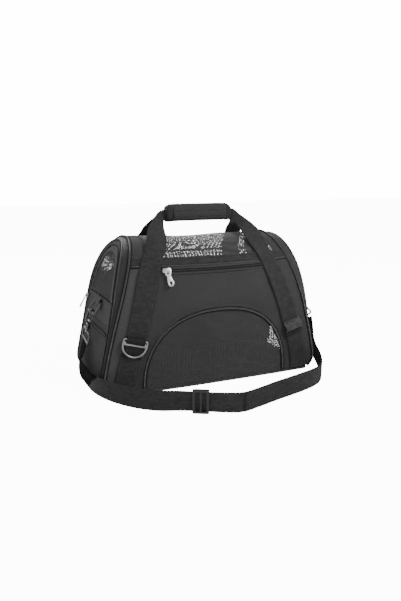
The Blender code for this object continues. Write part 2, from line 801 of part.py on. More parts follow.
def handle_leg(face, side):
    """One leg, from its foot on the wall to the middle of its half of the grip."""
    out = WEBBING_OUT + WEBBING_THICK / 2
    leg = []
    for x, z in HANDLE_LEG:
        drift = np.interp(z, HANDLE_DRIFT_Z, HANDLE_DRIFT[face, side])
        place = wall_place(face, side * x + drift, z, out)
        leg.append((place.at, place.out))
    for x, y, z, upward in HANDLE_RISE:
        drift = np.interp(z, HANDLE_DRIFT_Z, HANDLE_DRIFT[face, side])
        leg.append((np.array([side * x + drift, face * y, z]), (0, face, upward)))
    return leg


def build_handle(name, face):
    points, normals = handle_route(face)
    pinch = np.clip((points[:, 2] - FOLD_LOW) / (FOLD_HIGH - FOLD_LOW), 0, 1)
    widths = WEBBING_WIDTH + (GRIP_WEBBING - WEBBING_WIDTH) * pinch
    ribbon(f"{name}_handle", points, normals, widths, WEBBING_THICK, webbing())


def build_grip():
    """The padded wrap round both handles, and the flap that closes over its front."""
    xs = [GRIP_SHIFT + side * (GRIP_HALF - short) for side in (-1, 1) for short in GRIP_END_SHORT[::side]]
    drops = GRIP_END_DROP[::-1] + GRIP_END_DROP
    outer = rounded(GRIP_DEEP / 2, GRIP_TALL / 2, 0.009, 4)
    inner = rounded(GRIP_DEEP / 2 - GRIP_WALL - 0.0036, GRIP_TALL / 2 - GRIP_WALL, 0.0035, 4)
    vertices = []
    faces = []
    count = len(outer)
    for x, drop in zip(xs, drops):
        narrow = 1 - drop * GRIP_END_NARROW
        vertices += [(x, y * narrow, GRIP_Z + z - drop * max(z, 0) / (GRIP_TALL / 2)) for y, z in outer]
        vertices += [(x, y, GRIP_Z + z - drop * max(z, 0) / (GRIP_TALL / 2)) for y, z in inner]
    for i in range(len(xs) - 1):
        for ring in (0, count):
            for k in range(count):
                after = (k + 1) % count
                here = 2 * count * i + ring
                there = here + 2 * count
                faces.append((here + k, here + after, there + after, there + k))
    for start in (0, 2 * count * (len(xs) - 1)):
        for k in range(count):
            after = (k + 1) % count
            faces.append((start + k, start + after, start + count + after, start + count + k))
    make_object("grip_wrap", vertices, faces, webbing())
    top = GRIP_TALL / 2 - 0.004
    place = Place((GRIP_SHIFT, -GRIP_DEEP / 2, GRIP_Z + top), (1, 0, 0), (0, 0, 1))
    sketch = [(0.0, 0.0012), (-0.013, 0.0014), (-0.0235, 0.0010), (-0.0285, -0.0020)]
    sketch = smooth(sketch, 3)
    origin = place.point(0, 0, 0.0012)
    bar("grip_flap", place, sketch, GRIP_HALF - 0.012, 0.0014, webbing(), origin)


def hanging(place):
    """The same place with its up axis as near plumb as its across axis allows."""
    return Place(place.at, place.across, (0, 0, 1))


def build_ring_and_keeper(name, face):
    """A D-ring held by a folded tab on one leg, and a rolled webbing keeper on the other leg."""
    finish = webbing()
    foot = WEBBING_OUT + WEBBING_THICK
    place = wall_place(face, face * RING_TAB_X, RING_TAB_Z, foot)
    place = hanging(place.turned(-15))
    sketch = [(-0.0340, 0.0016), (-0.0200, 0.0019), (-0.0060, 0.0019), (-0.0022, 0.0019), (0.0016, 0.0024)]
    sketch += [(0.0036, 0.0046), (0.0028, 0.0069), (0.0004, 0.0079), (-0.0030, 0.0078)]
    bar(f"{name}_ring_tab", place, sketch, 0.0175, 0.0013, finish)
    out = 0.0047
    wire = [(-D_HALF, 0.0), (-0.010, 0.0), (0.0, 0.0), (0.010, 0.0), (D_HALF, 0.0)]
    loop = [place.point(a, u, out) for a, u in wire]
    drop = D_TALL - D_HALF
    loop.append(place.point(D_HALF + 0.0006, -drop * 0.5, out))
    for k in range(13):
        turn = -math.pi * k / 12
        loop.append(place.point((D_HALF + 0.0006) * math.cos(turn), -drop + D_HALF * math.sin(turn), out))
    loop.append(place.point(-D_HALF - 0.0006, -drop * 0.5, out))
    ring = tube(f"{name}_d_ring", loop, D_WIRE, steel(), closed=True, origin=place.point(0, 0, out))
    cross = rounded(D_HALF, 0.0022, 0.0008, 2)
    level = Place(place.point(0, -0.0080, 0), place.across, place.up)
    strip = slab(f"{name}_cross_bar", level, cross, out - 0.0009, out + 0.0009, steel())
    unite(ring, [strip])

    keeper = wall_place(face, -face * 0.1660, 0.0975, foot).turned(15)
    roll = [(-0.0175, 0.0011), (-0.0115, 0.0011), (-0.0080, 0.0030), (-0.0055, 0.0062), (0.0, 0.0078)]
    roll += [(0.0060, 0.0068), (0.0095, 0.0036), (0.0115, 0.0011), (0.0150, 0.0011)]
    bar(f"{name}_keeper", keeper, roll, 0.0200, 0.0014, finish)


# Shoulder strap.


def ring_foot(name, side):
    """The middle of the end ring's lower bar."""
    place = end_place(side, 0, RING_Z, 0.0027)
    tilt = math.radians(RING_TILT[name])
    return place.point(0, -RING_DROP * math.cos(tilt), RING_DROP * math.sin(tilt))


def build_end_ring(name, side):
    """The ring on the belt, its webbing tab and the snap hook that hangs from it."""
    place = end_place(side, 0, RING_Z)
    hump = [(0.0095, 0.0010), (0.0078, 0.0012), (0.0052, 0.0040), (0.0, 0.0058)]
    hump += [(-0.0052, 0.0040), (-0.0078, 0.0012), (-0.0110, 0.0010)]
    bar(f"{name}_ring_loop", place, hump, 0.0190, 0.0012, webbing())
    tilt = math.radians(RING_TILT[name])
    corner = 0.004
    path = []
    for a, u in rounded(RING_HALF, RING_DROP / 2, corner, 3):
        fall = u - RING_DROP / 2
        path.append(place.point(a, fall * math.cos(tilt), 0.0027 - fall * math.sin(tilt)))
    tube(f"{name}_end_ring", path, RING_WIRE, steel(), closed=True, sides=8)
    build_snap_hook(name, side)


def build_snap_hook(name, side):
    """A hook round the ring's lower bar, its sprung gate, and the eye that the strap ends in."""
    start = ring_foot(name, side)
    end = np.array(STRAP_ENDS[name])
    down = unit(end - start)
    reach = np.linalg.norm(end - start)
    out = unit(np.array([side, 0, 0]) - down * side * down[0])
    place = Place(start, np.cross(-down, out), -down)
    hook = [(0.0, -0.0290), (0.0, -0.0240), (0.0042, -0.0200), (0.0062, -0.0150), (0.0062, -0.0060)]
    hook += [(0.0050, 0.0016), (0.0, 0.0048), (-0.0046, 0.0026), (-0.0062, -0.0030)]
    turned = [place.point(0.0, u, a) for a, u in smooth(hook, 3)]
    body = tube(f"{name}_snap_hook", turned, 0.0021, steel())
    barrel = [place.point(0, u, 0) for u in (-0.0275, -0.0370)]
    unite(body, [tube(f"{name}_barrel", barrel, 0.0042, steel(), sides=12)])
    pivot = place.point(0, -0.0215, -0.0048)
    gate = [place.point(0, u, o) for u, o in ((-0.0215, -0.0048), (-0.0140, -0.0058), (-0.0060, -0.0062))]
    tube(f"{name}_hook_gate", gate, 0.0013, steel(), sides=6, origin=pivot)
    eye = []
    low = -reach + 0.0050
    high = -0.0385 - 0.0022
    tall = (high - low) / 2
    for a, u in rounded(0.0215, tall, 0.0035, 3):
        eye.append(place.point(a, u + (high + low) / 2, 0))
    tube(f"{name}_hook_eye", eye, 0.0020, steel(), closed=True)


def strap_path():
    points = smooth(STRAP_ROUTE, 3)
    outward = points * np.array([0.9, 1.3, 0.0])
    outward /= np.linalg.norm(outward, axis=1)[:, None]
    return points, outward


def build_strap():
    points, outward = strap_path()
    widths = np.full(len(points), STRAP_WIDTH)
    ribbon("shoulder_strap", points, outward, widths, STRAP_THICK, webbing())
    along = np.array(STRAP_ROUTE[12]) - np.array(STRAP_ROUTE[10])
    build_adjuster(Place(ADJUSTER, along, (0, 0, 1)))


def build_adjuster(place):
    """A three-bar slide: a rectangular frame round the strap with an outer middle bar."""
    frame = rounded(0.0145, 0.0214, 0.004, 3)
    outer = slab("strap_adjuster", place, frame, -0.0040, 0.0040, plastic(), 0.0006, place.at)
    slot = slab("adjuster_slot", place, rounded(0.0200, 0.0191, 0.001, 2), -0.0022, 0.0022, plastic())
    slot.hide_render = True
    slot.display_type = "WIRE"
    cut = outer.modifiers.new("Strap slot", "BOOLEAN")
    cut.operation = "DIFFERENCE"
    cut.object = slot


def main():
    for old in list(bpy.data.objects):
        bpy.data.objects.remove(old, do_unlink=True)
    build_front_panel()
    build_window()
    build_rear_panel()
    build_top()
    build_base()
    for name, side in SIDES.items():
        build_end(name, side)
        build_door_zip(name, side)
        build_end_ring(name, side)
    build_front_zip()
    build_pocket_zip()
    for name, face in FACES.items():
        build_handle(name, face)
    build_ring_and_keeper("front", FACES["front"])
    build_grip()
    build_strap()


main()
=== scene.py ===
import math
from functools import partial

import bmesh
import bpy
import numpy as np
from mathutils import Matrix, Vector, noise
from mathutils.bvhtree import BVHTree


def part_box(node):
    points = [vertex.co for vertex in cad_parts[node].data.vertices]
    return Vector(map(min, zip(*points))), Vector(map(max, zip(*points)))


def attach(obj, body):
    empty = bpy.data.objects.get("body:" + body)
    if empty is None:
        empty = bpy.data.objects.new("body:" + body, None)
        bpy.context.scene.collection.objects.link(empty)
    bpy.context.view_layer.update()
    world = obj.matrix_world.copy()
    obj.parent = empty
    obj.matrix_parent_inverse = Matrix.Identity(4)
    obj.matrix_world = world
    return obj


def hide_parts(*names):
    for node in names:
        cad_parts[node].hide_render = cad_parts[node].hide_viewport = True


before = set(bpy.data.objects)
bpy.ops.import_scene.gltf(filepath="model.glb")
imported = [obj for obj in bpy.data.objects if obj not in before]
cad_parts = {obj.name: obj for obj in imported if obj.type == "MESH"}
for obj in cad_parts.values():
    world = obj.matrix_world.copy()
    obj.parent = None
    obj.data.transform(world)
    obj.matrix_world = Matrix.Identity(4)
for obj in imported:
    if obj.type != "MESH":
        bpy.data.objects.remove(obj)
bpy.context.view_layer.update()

# The bag's driving dimensions, in metres, as in its CAD source.
LENGTH = 0.460
DEPTH = 0.205
HEIGHT = 0.283
WALL_TOP = 0.134
ARCH_POWER = 2.3
LEAN_LINEAR = 0.17
LEAN_SQUARE = 0.435
CORNER = 0.038
SEAM_Z = 0.236
FRONT_BULGE = 0.028
REAR_BULGE = 0.020
BASE_BULGE = 0.004
SKIRT_Z = 0.0062
REAR_NET_Z = 0.200
WINDOW_HALF = 0.149
WINDOW_TOP = 0.1515
WINDOW_POWER = 2.3
TOP_BAND = {"left": 0.0285, "right": 0.022}
END_INSET = 0.010
END_DROP = 0.005
END_STEP_LOW = 0.003
END_STEP_Z = (0.0, 0.060, 0.134, 0.160, 0.187, 0.214, 0.235, 0.262, 0.283)
END_STEP = {
    -1: (END_STEP_LOW, 0.0040, 0.0065, 0.0090, 0.0120, 0.0145, 0.0150, 0.0120, 0.0085),
    1: (END_STEP_LOW, 0.0045, 0.0105, 0.0135, 0.0170, 0.0210, 0.0235, 0.0240, 0.0240),
}
END_STEP_CURVE = {side: np.polyfit(END_STEP_Z, steps, 4) for side, steps in END_STEP.items()}
BORDER_WIDTH = 0.012
DOOR_BORDER = 0.010
BELT_LOW = 0.128
BELT_HIGH = 0.170
DOOR_LOW = 0.1715
GAP = 0.0005
PIPE_RADIUS = 0.0022
PIPE_SINK = -0.0012
SEAM_WIDTH = {"front": 0.0082, "rear": 0.0048}
WEBBING_WIDTH = 0.038
WEBBING_THICK = 0.0016
WEBBING_OUT = 0.0015
GRIP_SHIFT = 0.006
GRIP_HALF = 0.0705
GRIP_Z = 0.325
GRIP_TALL = 0.034
GRIP_DEEP = 0.024
GRIP_WEBBING = 0.018
GRIP_END_SHORT = (0.0, 0.004, 0.011, 0.020)
GRIP_END_DROP = (0.0080, 0.0040, 0.0008, 0.0)
GRIP_END_NARROW = 22
GRIP_SPREAD = 0.0026
RING_WIRE = 0.00175
RING_HALF = 0.0235
RING_DROP = 0.026
RING_Z = 0.161
RING_TILT = {"left": 24.0, "right": 20.0}
D_WIRE = 0.0015
D_HALF = 0.0216
D_TALL = 0.0315
RING_TAB_X = 0.1650
RING_TAB_Z = 0.107
ADJUSTER = (-0.0925, -0.2380, 0.0222)
STRAP_WIDTH = 0.037
STRAP_THICK = 0.0020
FRONT_ZIP_Z = 0.2275
FRONT_ZIP_HALF = 0.108
FRONT_SLIDER_X = -0.1005
DOOR_SLIDER_Z = 0.157
POCKET_ZIP_Z = 0.112
POCKET_ZIP_HALF = 0.076
POCKET_SLIDER_Y = 0.042
PULL_HINGE = 0.0055
FRONT_PULL_TILT = 12.0
DOOR_PULL_SWING = {"left": 18.0, "right": 0.0}
DOOR_PULL_SIZE = {"left": (0.029, 0.0042), "right": (0.022, 0.0035)}
CABIN_MIDDLE = np.array([0.0, 0.0, 0.10])
SIDES = {"left": -1, "right": 1}
FACES = {"front": -1, "rear": 1}

STRAP_ROUTE = [
    (-0.2300, 0.0150, 0.0790), (-0.2345, 0.0200, 0.0600), (-0.2390, 0.0205, 0.0440),
    (-0.2425, 0.0110, 0.0335), (-0.2435, -0.0130, 0.0270), (-0.2420, -0.0450, 0.0245),
    (-0.2365, -0.0830, 0.0230), (-0.2185, -0.1250, 0.0210), (-0.1905, -0.1670, 0.0197),
    (-0.1585, -0.1985, 0.0205), (-0.1250, -0.2190, 0.0222), (-0.0925, -0.2380, 0.0222),
    (-0.0600, -0.2570, 0.0222), (-0.0260, -0.2650, 0.0202), (0.0090, -0.2550, 0.0195),
    (0.0560, -0.2390, 0.0195), (0.1120, -0.2220, 0.0195), (0.1600, -0.2040, 0.0195),
    (0.1900, -0.1810, 0.0192), (0.2155, -0.1440, 0.0195), (0.2360, -0.1040, 0.0212),
    (0.2455, -0.0760, 0.0295), (0.2510, -0.0550, 0.0460), (0.2550, -0.0420, 0.0680),
    (0.2560, -0.0330, 0.0900),
]
STRAP_ENDS = {"left": STRAP_ROUTE[0], "right": STRAP_ROUTE[-1]}
HANDLE_LEG = [
    (0.1865, 0.0085), (0.1850, 0.030), (0.1770, 0.065), (0.1650, 0.100), (0.1535, 0.140),
    (0.1430, 0.172), (0.1320, 0.204), (0.1200, 0.236), (0.1130, 0.2515),
]
HANDLE_RISE = [
    (0.1035, 0.0600, 0.2770, 0.80), (0.0960, 0.0360, 0.2960, 0.60), (0.0855, 0.0130, 0.3105, 0.20),
    (0.0775, 0.0036, 0.3194, 0.03), (0.0680, GRIP_SPREAD, 0.3222, 0.0), (0.0350, GRIP_SPREAD, 0.3222, 0.0),
]
HANDLE_DRIFT_Z = (0.100, 0.200, 0.236, 0.280, 0.320)
HANDLE_DRIFT = {
    (-1, -1): (0.0, -0.0065, -0.0075, 0.0, 0.006), (-1, 1): (0.0, -0.0065, -0.0075, 0.0, 0.006),
    (1, -1): (0.0, 0.0060, 0.0085, 0.024, 0.006), (1, 1): (0.0, 0.0025, 0.0040, 0.012, 0.006),
}
FOLD_LOW = 0.290
FOLD_HIGH = 0.316

STITCH = [(0.0, 0.15), (0.18, 0.8), (0.5, 1.0), (0.82, 0.8), (1.0, 0.15)]
STITCH_RADIUS = 0.00034
STITCH_SHARE = 0.74
STITCH_REACH = WEBBING_WIDTH / 2 - 0.0032
SIDE_STITCH = 0.0062
LEVEL_STITCH = 0.0075
PROUD = 0.0002
LEG_TOP = 0.256
# Where the strap's painted shade starts: the doubled layer, the line across its left stretch, and its right
# stretch.
LAYER_START_X = -0.030
CREASE_Y = -0.045
CREASE_Z = 0.0045
CREASE_SLOPE = 1.35
STRAP_SHADE_X = 0.165
STRAP_LIFT = 0.0045
STRAP_LIFT_Y = -0.025
FLAP_CHANNELS = (0.27, 0.62)
GRIP_POWER = 2 / 3.2
TOOTH_PITCH = 0.0016
TOOTH_HALF = 0.0019
MAT_INSET = 0.004
MAT_SWELL = 0.004
RIM_SHARE = 0.35
NEAR = 1e-4
UPWARD = (0, 0, 1.0)

CAMERA_AZIMUTH = math.radians(-24.385)
CAMERA_ELEVATION = math.radians(13.009)
CAMERA_TARGET = (0.0278, 0.0, 0.12)
CAMERA_DISTANCE = 1.2844
CAMERA_LENS = 36.78
CAMERA_SHIFT = (-0.0117, 0.0167)


# Studio: camera, lights, backdrop and floor.


def set_camera():
    ca, sa = math.cos(CAMERA_AZIMUTH), math.sin(CAMERA_AZIMUTH)
    ce, se = math.cos(CAMERA_ELEVATION), math.sin(CAMERA_ELEVATION)
    back = Vector((sa * ce, -ca * ce, se))
    data = bpy.data.cameras.new("camera")
    data.lens = CAMERA_LENS
    data.shift_x, data.shift_y = CAMERA_SHIFT
    data.clip_start = 0.01
    camera = bpy.data.objects.new("camera", data)
    camera.location = Vector(CAMERA_TARGET) + back * CAMERA_DISTANCE
    camera.rotation_euler = (-back).to_track_quat("-Z", "Y").to_euler()
    bpy.context.scene.collection.objects.link(camera)
    bpy.context.scene.camera = camera


def area_light(name, place, aim, size, power):
    data = bpy.data.lights.new(name, "AREA")
    data.shape = "RECTANGLE"
    data.size, data.size_y = size
    data.energy = power
    light = bpy.data.objects.new(name, data)
    light.location = place
    light.rotation_euler = (Vector(aim) - Vector(place)).to_track_quat("-Z", "Y").to_euler()
    bpy.context.scene.collection.objects.link(light)


def set_lights():
    area_light("key", (0.9, -1.3, 1.5), (0, 0, 0.12), (0.8, 0.6), 34)
    area_light("fill", (-1.2, -1.4, 0.8), (0, 0, 0.12), (1.2, 1.2), 9)
    area_light("back", (-0.2, 1.5, 1.4), (0, 0, 0.2), (1.6, 0.7), 22)
    world = bpy.data.worlds.new("backdrop")
    world.use_nodes = True
    tree = world.node_tree
    back = tree.nodes["Background"]
    ray = tree.nodes.new("ShaderNodeLightPath")
    strength = tree.nodes.new("ShaderNodeMapRange")
    strength.inputs["To Min"].default_value = 0.38
    strength.inputs["To Max"].default_value = 15.0
    tree.links.new(ray.outputs["Is Camera Ray"], strength.inputs["Value"])
    tree.links.new(strength.outputs["Result"], back.inputs["Strength"])
    back.inputs["Color"].default_value = (1.0, 1.0, 1.0, 1.0)
    bpy.context.scene.world = world


def set_floor():
    half = 6.0
    mesh = bpy.data.meshes.new("floor")
    corners = [(-half, -half, 0), (half, -half, 0), (half, half, 0), (-half, half, 0)]
    mesh.from_pydata(corners, [], [(0, 1, 2, 3)])
    floor = bpy.data.objects.new("floor", mesh)
    bpy.context.scene.collection.objects.link(floor)
    finish = Finish("floor", base_color=(0.86, 0.86, 0.86, 1.0), roughness=0.8, specular_ior_level=0.1,
                    emission_color=(1.0, 1.0, 1.0, 1.0))
    glow = finish.add("LightPath")
    finish.set("Emission Strength", finish.math("MULTIPLY", glow.outputs["Is Camera Ray"], 12.0))
    mesh.materials.append(finish.material)


# Finishes.


class Value:
    """A number that varies over a surface: a node's output, with arithmetic that adds nodes."""

    def __init__(self, finish, socket):
        self.finish = finish
        self.socket = socket

    def math(self, operation, *others):
        return self.finish.math(operation, self, *others)

    def __add__(self, other):
        return self.math("ADD", other)

    def __sub__(self, other):
        return self.math("SUBTRACT", other)

    def __mul__(self, other):
        return self.math("MULTIPLY", other)

    def __truediv__(self, other):
        return self.math("DIVIDE", other)

    def wave(self, pitch):
        """A sine wave of this length."""
        return (self * (2 * math.pi / pitch)).math("SINE")

    def spread(self, low, high, start=0.0, end=1.0):
        """The span from start to end spread between two numbers."""
        node = self.finish.add("MapRange", self, start, end, low, high)
        return Value(self.finish, node.outputs[0])


class Finish:
    """A procedural material, built node by node."""

    def __init__(self, name, **sockets):
        self.material = bpy.data.materials.new(name)
        self.material.use_nodes = True
        self.tree = self.material.node_tree
        self.shader = self.tree.nodes["Principled BSDF"]
        for socket, value in sockets.items():
            self.set(socket.replace("_", " ").title().replace("Ior", "IOR"), value)

    def set(self, socket, value):
        self.plug(self.shader.inputs[socket], value)

    def plug(self, socket, value):
        if isinstance(value, Value):
            value = value.socket
        if isinstance(value, bpy.types.NodeSocket):
            self.tree.links.new(value, socket)
        else:
            socket.default_value = value

    def add(self, kind, *values, **settings):
        node = self.tree.nodes.new("ShaderNode" + kind)
        for setting, value in settings.items():
            setattr(node, setting, value)
        for socket, value in zip(node.inputs, values):
            self.plug(socket, value)
        return node

    def math(self, operation, *values):
        return Value(self, self.add("Math", *values, operation=operation).outputs[0])

    def weave(self):
        """Metres along and across the cloth, and its wear together with any painted light and shade."""
        cloth = self.add("Attribute", attribute_name="weave").outputs["Vector"]
        return [Value(self, socket) for socket in self.add("SeparateXYZ", cloth).outputs]

    def noise(self, scale, detail=2.0, stretch=(1, 1, 1)):
        place = self.add("TexCoord").outputs["Object"]
        place = self.add("VectorMath", place, stretch, operation="MULTIPLY").outputs[0]
        grain = self.add("TexNoise", place)
        grain.inputs["Scale"].default_value = scale
        grain.inputs["Detail"].default_value = detail
        return Value(self, grain.outputs[0])

    def tint(self, color, factor):
        """A colour made lighter or darker by a factor."""
        product = self.add("VectorMath", color, operation="SCALE")
        self.plug(product.inputs["Scale"], factor)
        self.set("Base Color", product.outputs["Vector"])

    def bump(self, height, distance):
        bump = self.add("Bump")
        self.plug(bump.inputs["Height"], height)
        bump.inputs["Distance"].default_value = distance
        bump.inputs["Strength"].default_value = 1.0
        self.set("Normal", bump.outputs[0])


def woven(name, color, pitch, depth, roughness, sheen, mottle):
    """Plain woven cloth: crossing threads, flecks, slow shade changes and a fibre sheen."""
    finish = Finish(name, roughness=roughness, specular_ior_level=0.28, sheen_weight=sheen,
                    sheen_roughness=0.35, sheen_tint=(0.80, 0.80, 0.83, 1.0))
    along, across, wear_and_painted_light = finish.weave()
    thread = along.wave(pitch) * across.wave(pitch)
    fleck = finish.noise(420, 3.0)
    slow = finish.noise(11, 3.0)
    tone = (thread * 0.10 + 0.95) * fleck.spread(1 - mottle, 1 + mottle) * slow.spread(0.80, 1.22)
    finish.tint(color, tone + wear_and_painted_light * 0.5)
    finish.bump(fleck * 0.6 + thread, depth)
    return finish.material


def netting(name, color, pitch, hole, wale, streaks=0.0, sheen=0.15):
    """Knitted net: rows of round holes, half a step over in every second row, and wavy streaks."""
    finish = Finish(name, roughness=0.55, specular_ior_level=0.3, sheen_weight=sheen)
    along, across, _ = finish.weave()
    row = along / (pitch * 0.86)
    column = across / pitch + row.math("FLOOR").math("MODULO", 2.0) * 0.5
    high = row.math("FRACT") - 0.5
    wide = column.math("FRACT") - 0.5
    radius = (high * high + wide * wide).math("SQRT")
    rib = across.wave(wale)
    solid = (radius - (rib * 0.05 + hole)).spread(0.0, 1.0, -0.03, 0.03)
    finish.set("Alpha", solid)
    tone = finish.noise(9).spread(0.8, 1.2) * solid.spread(0.6, 1.1) + rib * 0.12
    wander = across * 0.30 + finish.noise(14) * 0.06
    finish.tint(color, tone * ((along + wander).wave(0.021) * streaks + 1.0))
    finish.bump(radius, 0.0004)
    return finish.material


def webbing(name, color, mottle):
    """Herringbone webbing: slanted ribs that turn at each wale, with a mottled face.

    Its wear value may be negative: that is painted shade, which darkens it and takes its sheen and specular
    gloss away.
    """
    finish = Finish(name, roughness=0.72, sheen_roughness=0.4)
    along, across, wear_and_painted_light = finish.weave()
    rib = (along + across.math("PINGPONG", 0.0024)).wave(0.0015)
    fleck = finish.noise(170, 4.0, (0.55, 0.55, 1.3))
    tone = fleck.spread(1 - mottle, 1 + mottle) + rib * 0.04 + across.wave(0.0024) * 0.02
    tone = tone * finish.noise(28).spread(0.82, 1.18) + wear_and_painted_light * 0.5
    finish.tint(color, tone.math("MAXIMUM", 0.12))
    shade = (wear_and_painted_light.math("MINIMUM", 0.0) * 0.62 + 1.0).math("MAXIMUM", 0.03)
    finish.set("Sheen Weight", shade * 0.14)
    finish.set("Specular IOR Level", shade * 0.25)
    finish.bump(rib * 0.25 + fleck, 0.0004)
    return finish.material


def bound(name, color, roughness):
    """Corded piping: cloth wound round a cord, with a faint gloss on its crown."""
    finish = Finish(name, roughness=roughness, specular_ior_level=0.5, sheen_weight=0.2)
    along, around, wear_and_painted_light = finish.weave()
    wound = (along + around * 0.6).wave(0.0012)
    fleck = finish.noise(300, 3.0)
    finish.tint(color, wound * 0.10 + fleck.spread(0.65, 1.35) + wear_and_painted_light)
    finish.bump(wound + fleck, 0.00018)
    return finish.material


def metal(name, color, roughness):
    """Nickel-plated steel: fine scratches, duller patches and a little colour change."""
    finish = Finish(name, metallic=1.0)
    scratch = finish.noise(160, 4.0, (1, 1, 9))
    patch = finish.noise(45, 3.0)
    finish.tint(color, patch.spread(0.78, 1.12))
    finish.set("Roughness", patch.spread(0.02, 0.16) + scratch.spread(roughness - 0.05, roughness + 0.08))
    finish.bump(scratch, 0.00006)
    return finish.material


def moulded(name, color, roughness, depth):
    """Moulded plastic with a fine spark-eroded grain."""
    finish = Finish(name, specular_ior_level=0.5)
    patch = finish.noise(30)
    finish.tint(color, patch.spread(0.85, 1.2))
    finish.set("Roughness", patch.spread(roughness - 0.08, roughness + 0.08))
    finish.bump(finish.noise(900, 3.0), depth)
    return finish.material


def plush(name, color):
    """Short fleece with tufts."""
    finish = Finish(name, roughness=0.95, specular_ior_level=0.1, sheen_weight=0.6, sheen_roughness=0.5)
    tuft = finish.noise(210, 4.0)
    finish.tint(color, tuft.spread(0.5, 1.5) * finish.noise(20, 3.0).spread(0.85, 1.15))
    finish.bump(tuft, 0.0012)
    return finish.material


FABRIC = (woven("oxford_cloth", (0.036, 0.036, 0.0375), 0.0009, 0.00012, 0.74, 0.12, 0.30), "shell_fabric")
SATIN = (woven("smooth_cloth", (0.028, 0.028, 0.0295), 0.0006, 0.00006, 0.46, 0.16, 0.16), "shell_fabric")
# Near-black cloth laid under the piping cords: painted shade in the seams' recesses.
SEAM_SHADE = (woven("seam_shade_cloth", (0.0045, 0.0045, 0.005), 0.0006, 0.00006, 0.9, 0.0, 0.1), "shell_fabric")
NET = (netting("window_net", (0.030, 0.030, 0.0315), 0.0019, 0.21, 0.0060, 0.05), "mesh")
# The left door's net: knitted denser, and darker in colour as painted shade on the left end.
DENSE_SHADED_NET = (netting("door_net", (0.008, 0.008, 0.0085), 0.0019, 0.145, 0.0060, 0.05, 0.02), "mesh")
TOP_NET = (netting("top_net", (0.032, 0.032, 0.033), 0.0021, 0.20, 0.0085, 0.34), "mesh")
WEBBING = (webbing("webbing", (0.0215, 0.0215, 0.0225), 0.85), "webbing")
# A lighter copy of the webbing: painted highlight on the keeper's roll.
PAINTED_LIGHT_WEBBING = (webbing("painted_light_webbing", (0.048, 0.048, 0.050), 0.85), "webbing")
PADDED_WEBBING = (woven("grip_cloth", (0.028, 0.028, 0.0295), 0.0008, 0.00010, 0.60, 0.20, 0.3), "webbing")
TAPE = (woven("zip_tape", (0.008, 0.008, 0.0085), 0.0007, 0.00008, 0.70, 0.05, 0.2), "zip_tape")
TEETH = (moulded("zip_teeth", (0.014, 0.014, 0.015), 0.34, 0.00002), "zip_tape")
PIPING = (bound("piping", (0.022, 0.022, 0.023), 0.30), "piping")
THREAD = (bound("thread", (0.034, 0.034, 0.036), 0.5), "piping")
STEEL = (metal("nickel", (0.84, 0.84, 0.85), 0.24), "steel")
PLAIN_STEEL = (metal("plain_nickel", (0.36, 0.36, 0.365), 0.30), "steel")
# A darker copy of the nickel: painted shade on the end hardware, which sits mostly in shadow.
DARK_STEEL = (metal("dark_nickel", (0.15, 0.15, 0.155), 0.24), "steel")
MOULDING = (moulded("moulding", (0.016, 0.016, 0.017), 0.34, 0.00004), "moulding")
BOARD = (moulded("board", (0.05, 0.05, 0.05), 0.6, 0.00015), "board")
PLUSH = (plush("plush", (0.045, 0.045, 0.047)), "shell_fabric")


# The bag's surfaces. Each takes arrays of its two coordinates and gives an array of points.


def unit(vectors):
    vectors = np.asarray(vectors, float)
    return vectors / np.linalg.norm(vectors, axis=-1, keepdims=True)


def half_length(z):
    z = np.asarray(z, float)
    fall = np.clip(1 - z / CORNER, 0, 1)
    rounding = CORNER * (1 - np.sqrt(1 - fall**2))
    return LENGTH / 2 - LEAN_LINEAR * z - LEAN_SQUARE * z * z - rounding


def measure_section():
    turn = np.linspace(0, math.pi / 2, 181)
    y = DEPTH / 2 * np.sin(turn) ** (2 / ARCH_POWER)
    z = WALL_TOP + (HEIGHT - WALL_TOP) * np.cos(turn) ** (2 / ARCH_POWER)
    y = np.append(y, DEPTH / 2)
    z = np.append(z, 0.0)
    run = np.concatenate([[0], np.cumsum(np.hypot(np.diff(y), np.diff(z)))])
    return run, y, z


SECTION_RUN, SECTION_Y, SECTION_Z = measure_section()


def section(run):
    """y and z at a signed arc length from the ridge, negative on the front."""
    y = np.interp(np.abs(run), SECTION_RUN, SECTION_Y)
    return np.copysign(y, run), np.interp(np.abs(run), SECTION_RUN, SECTION_Z)


def run_at(z):
    return np.interp(-np.asarray(z, float), -SECTION_Z, SECTION_RUN)


SEAM_RUN = float(run_at(SEAM_Z))
SKIRT_RUN = float(run_at(SKIRT_Z))
SEAM_Y = abs(float(section(SEAM_RUN)[0]))


def shell(across, run):
    across, run = np.broadcast_arrays(np.asarray(across, float), np.asarray(run, float))
    y, z = section(run)
    bulge = np.where(run < 0, FRONT_BULGE, REAR_BULGE)
    low = BASE_BULGE + (bulge - BASE_BULGE) * z / SEAM_Z
    high = bulge * np.abs(y) / SEAM_Y
    swell = np.where(z < SEAM_Z, low, high)
    y = y + np.copysign(swell * (1 - across**2), run)
    return np.stack([across * half_length(z), y, z], axis=-1)


def wall(face, x, z):
    return shell(x / half_length(z), face * run_at(z))


def end_x(side, z):
    """How far out an end panel stands at height z."""
    return half_length(z) + np.polyval(END_STEP_CURVE[side], np.clip(z, 0, HEIGHT))


def end_outline(side, run, inset, drop):
    y, z = section(run)
    y = y * (1 - inset / (DEPTH / 2))
    z = z * (1 - drop / HEIGHT)
    return np.stack([side * end_x(side, z), y, z], axis=-1)


def end_corner(side, run):
    y, z = section(run)
    return np.stack([side * half_length(z), y, z], axis=-1)


def end_half_depth(z, inset, drop):
    full = np.asarray(z, float) / (1 - drop / HEIGHT)
    return np.abs(section(run_at(full))[0]) * (1 - inset / (DEPTH / 2))


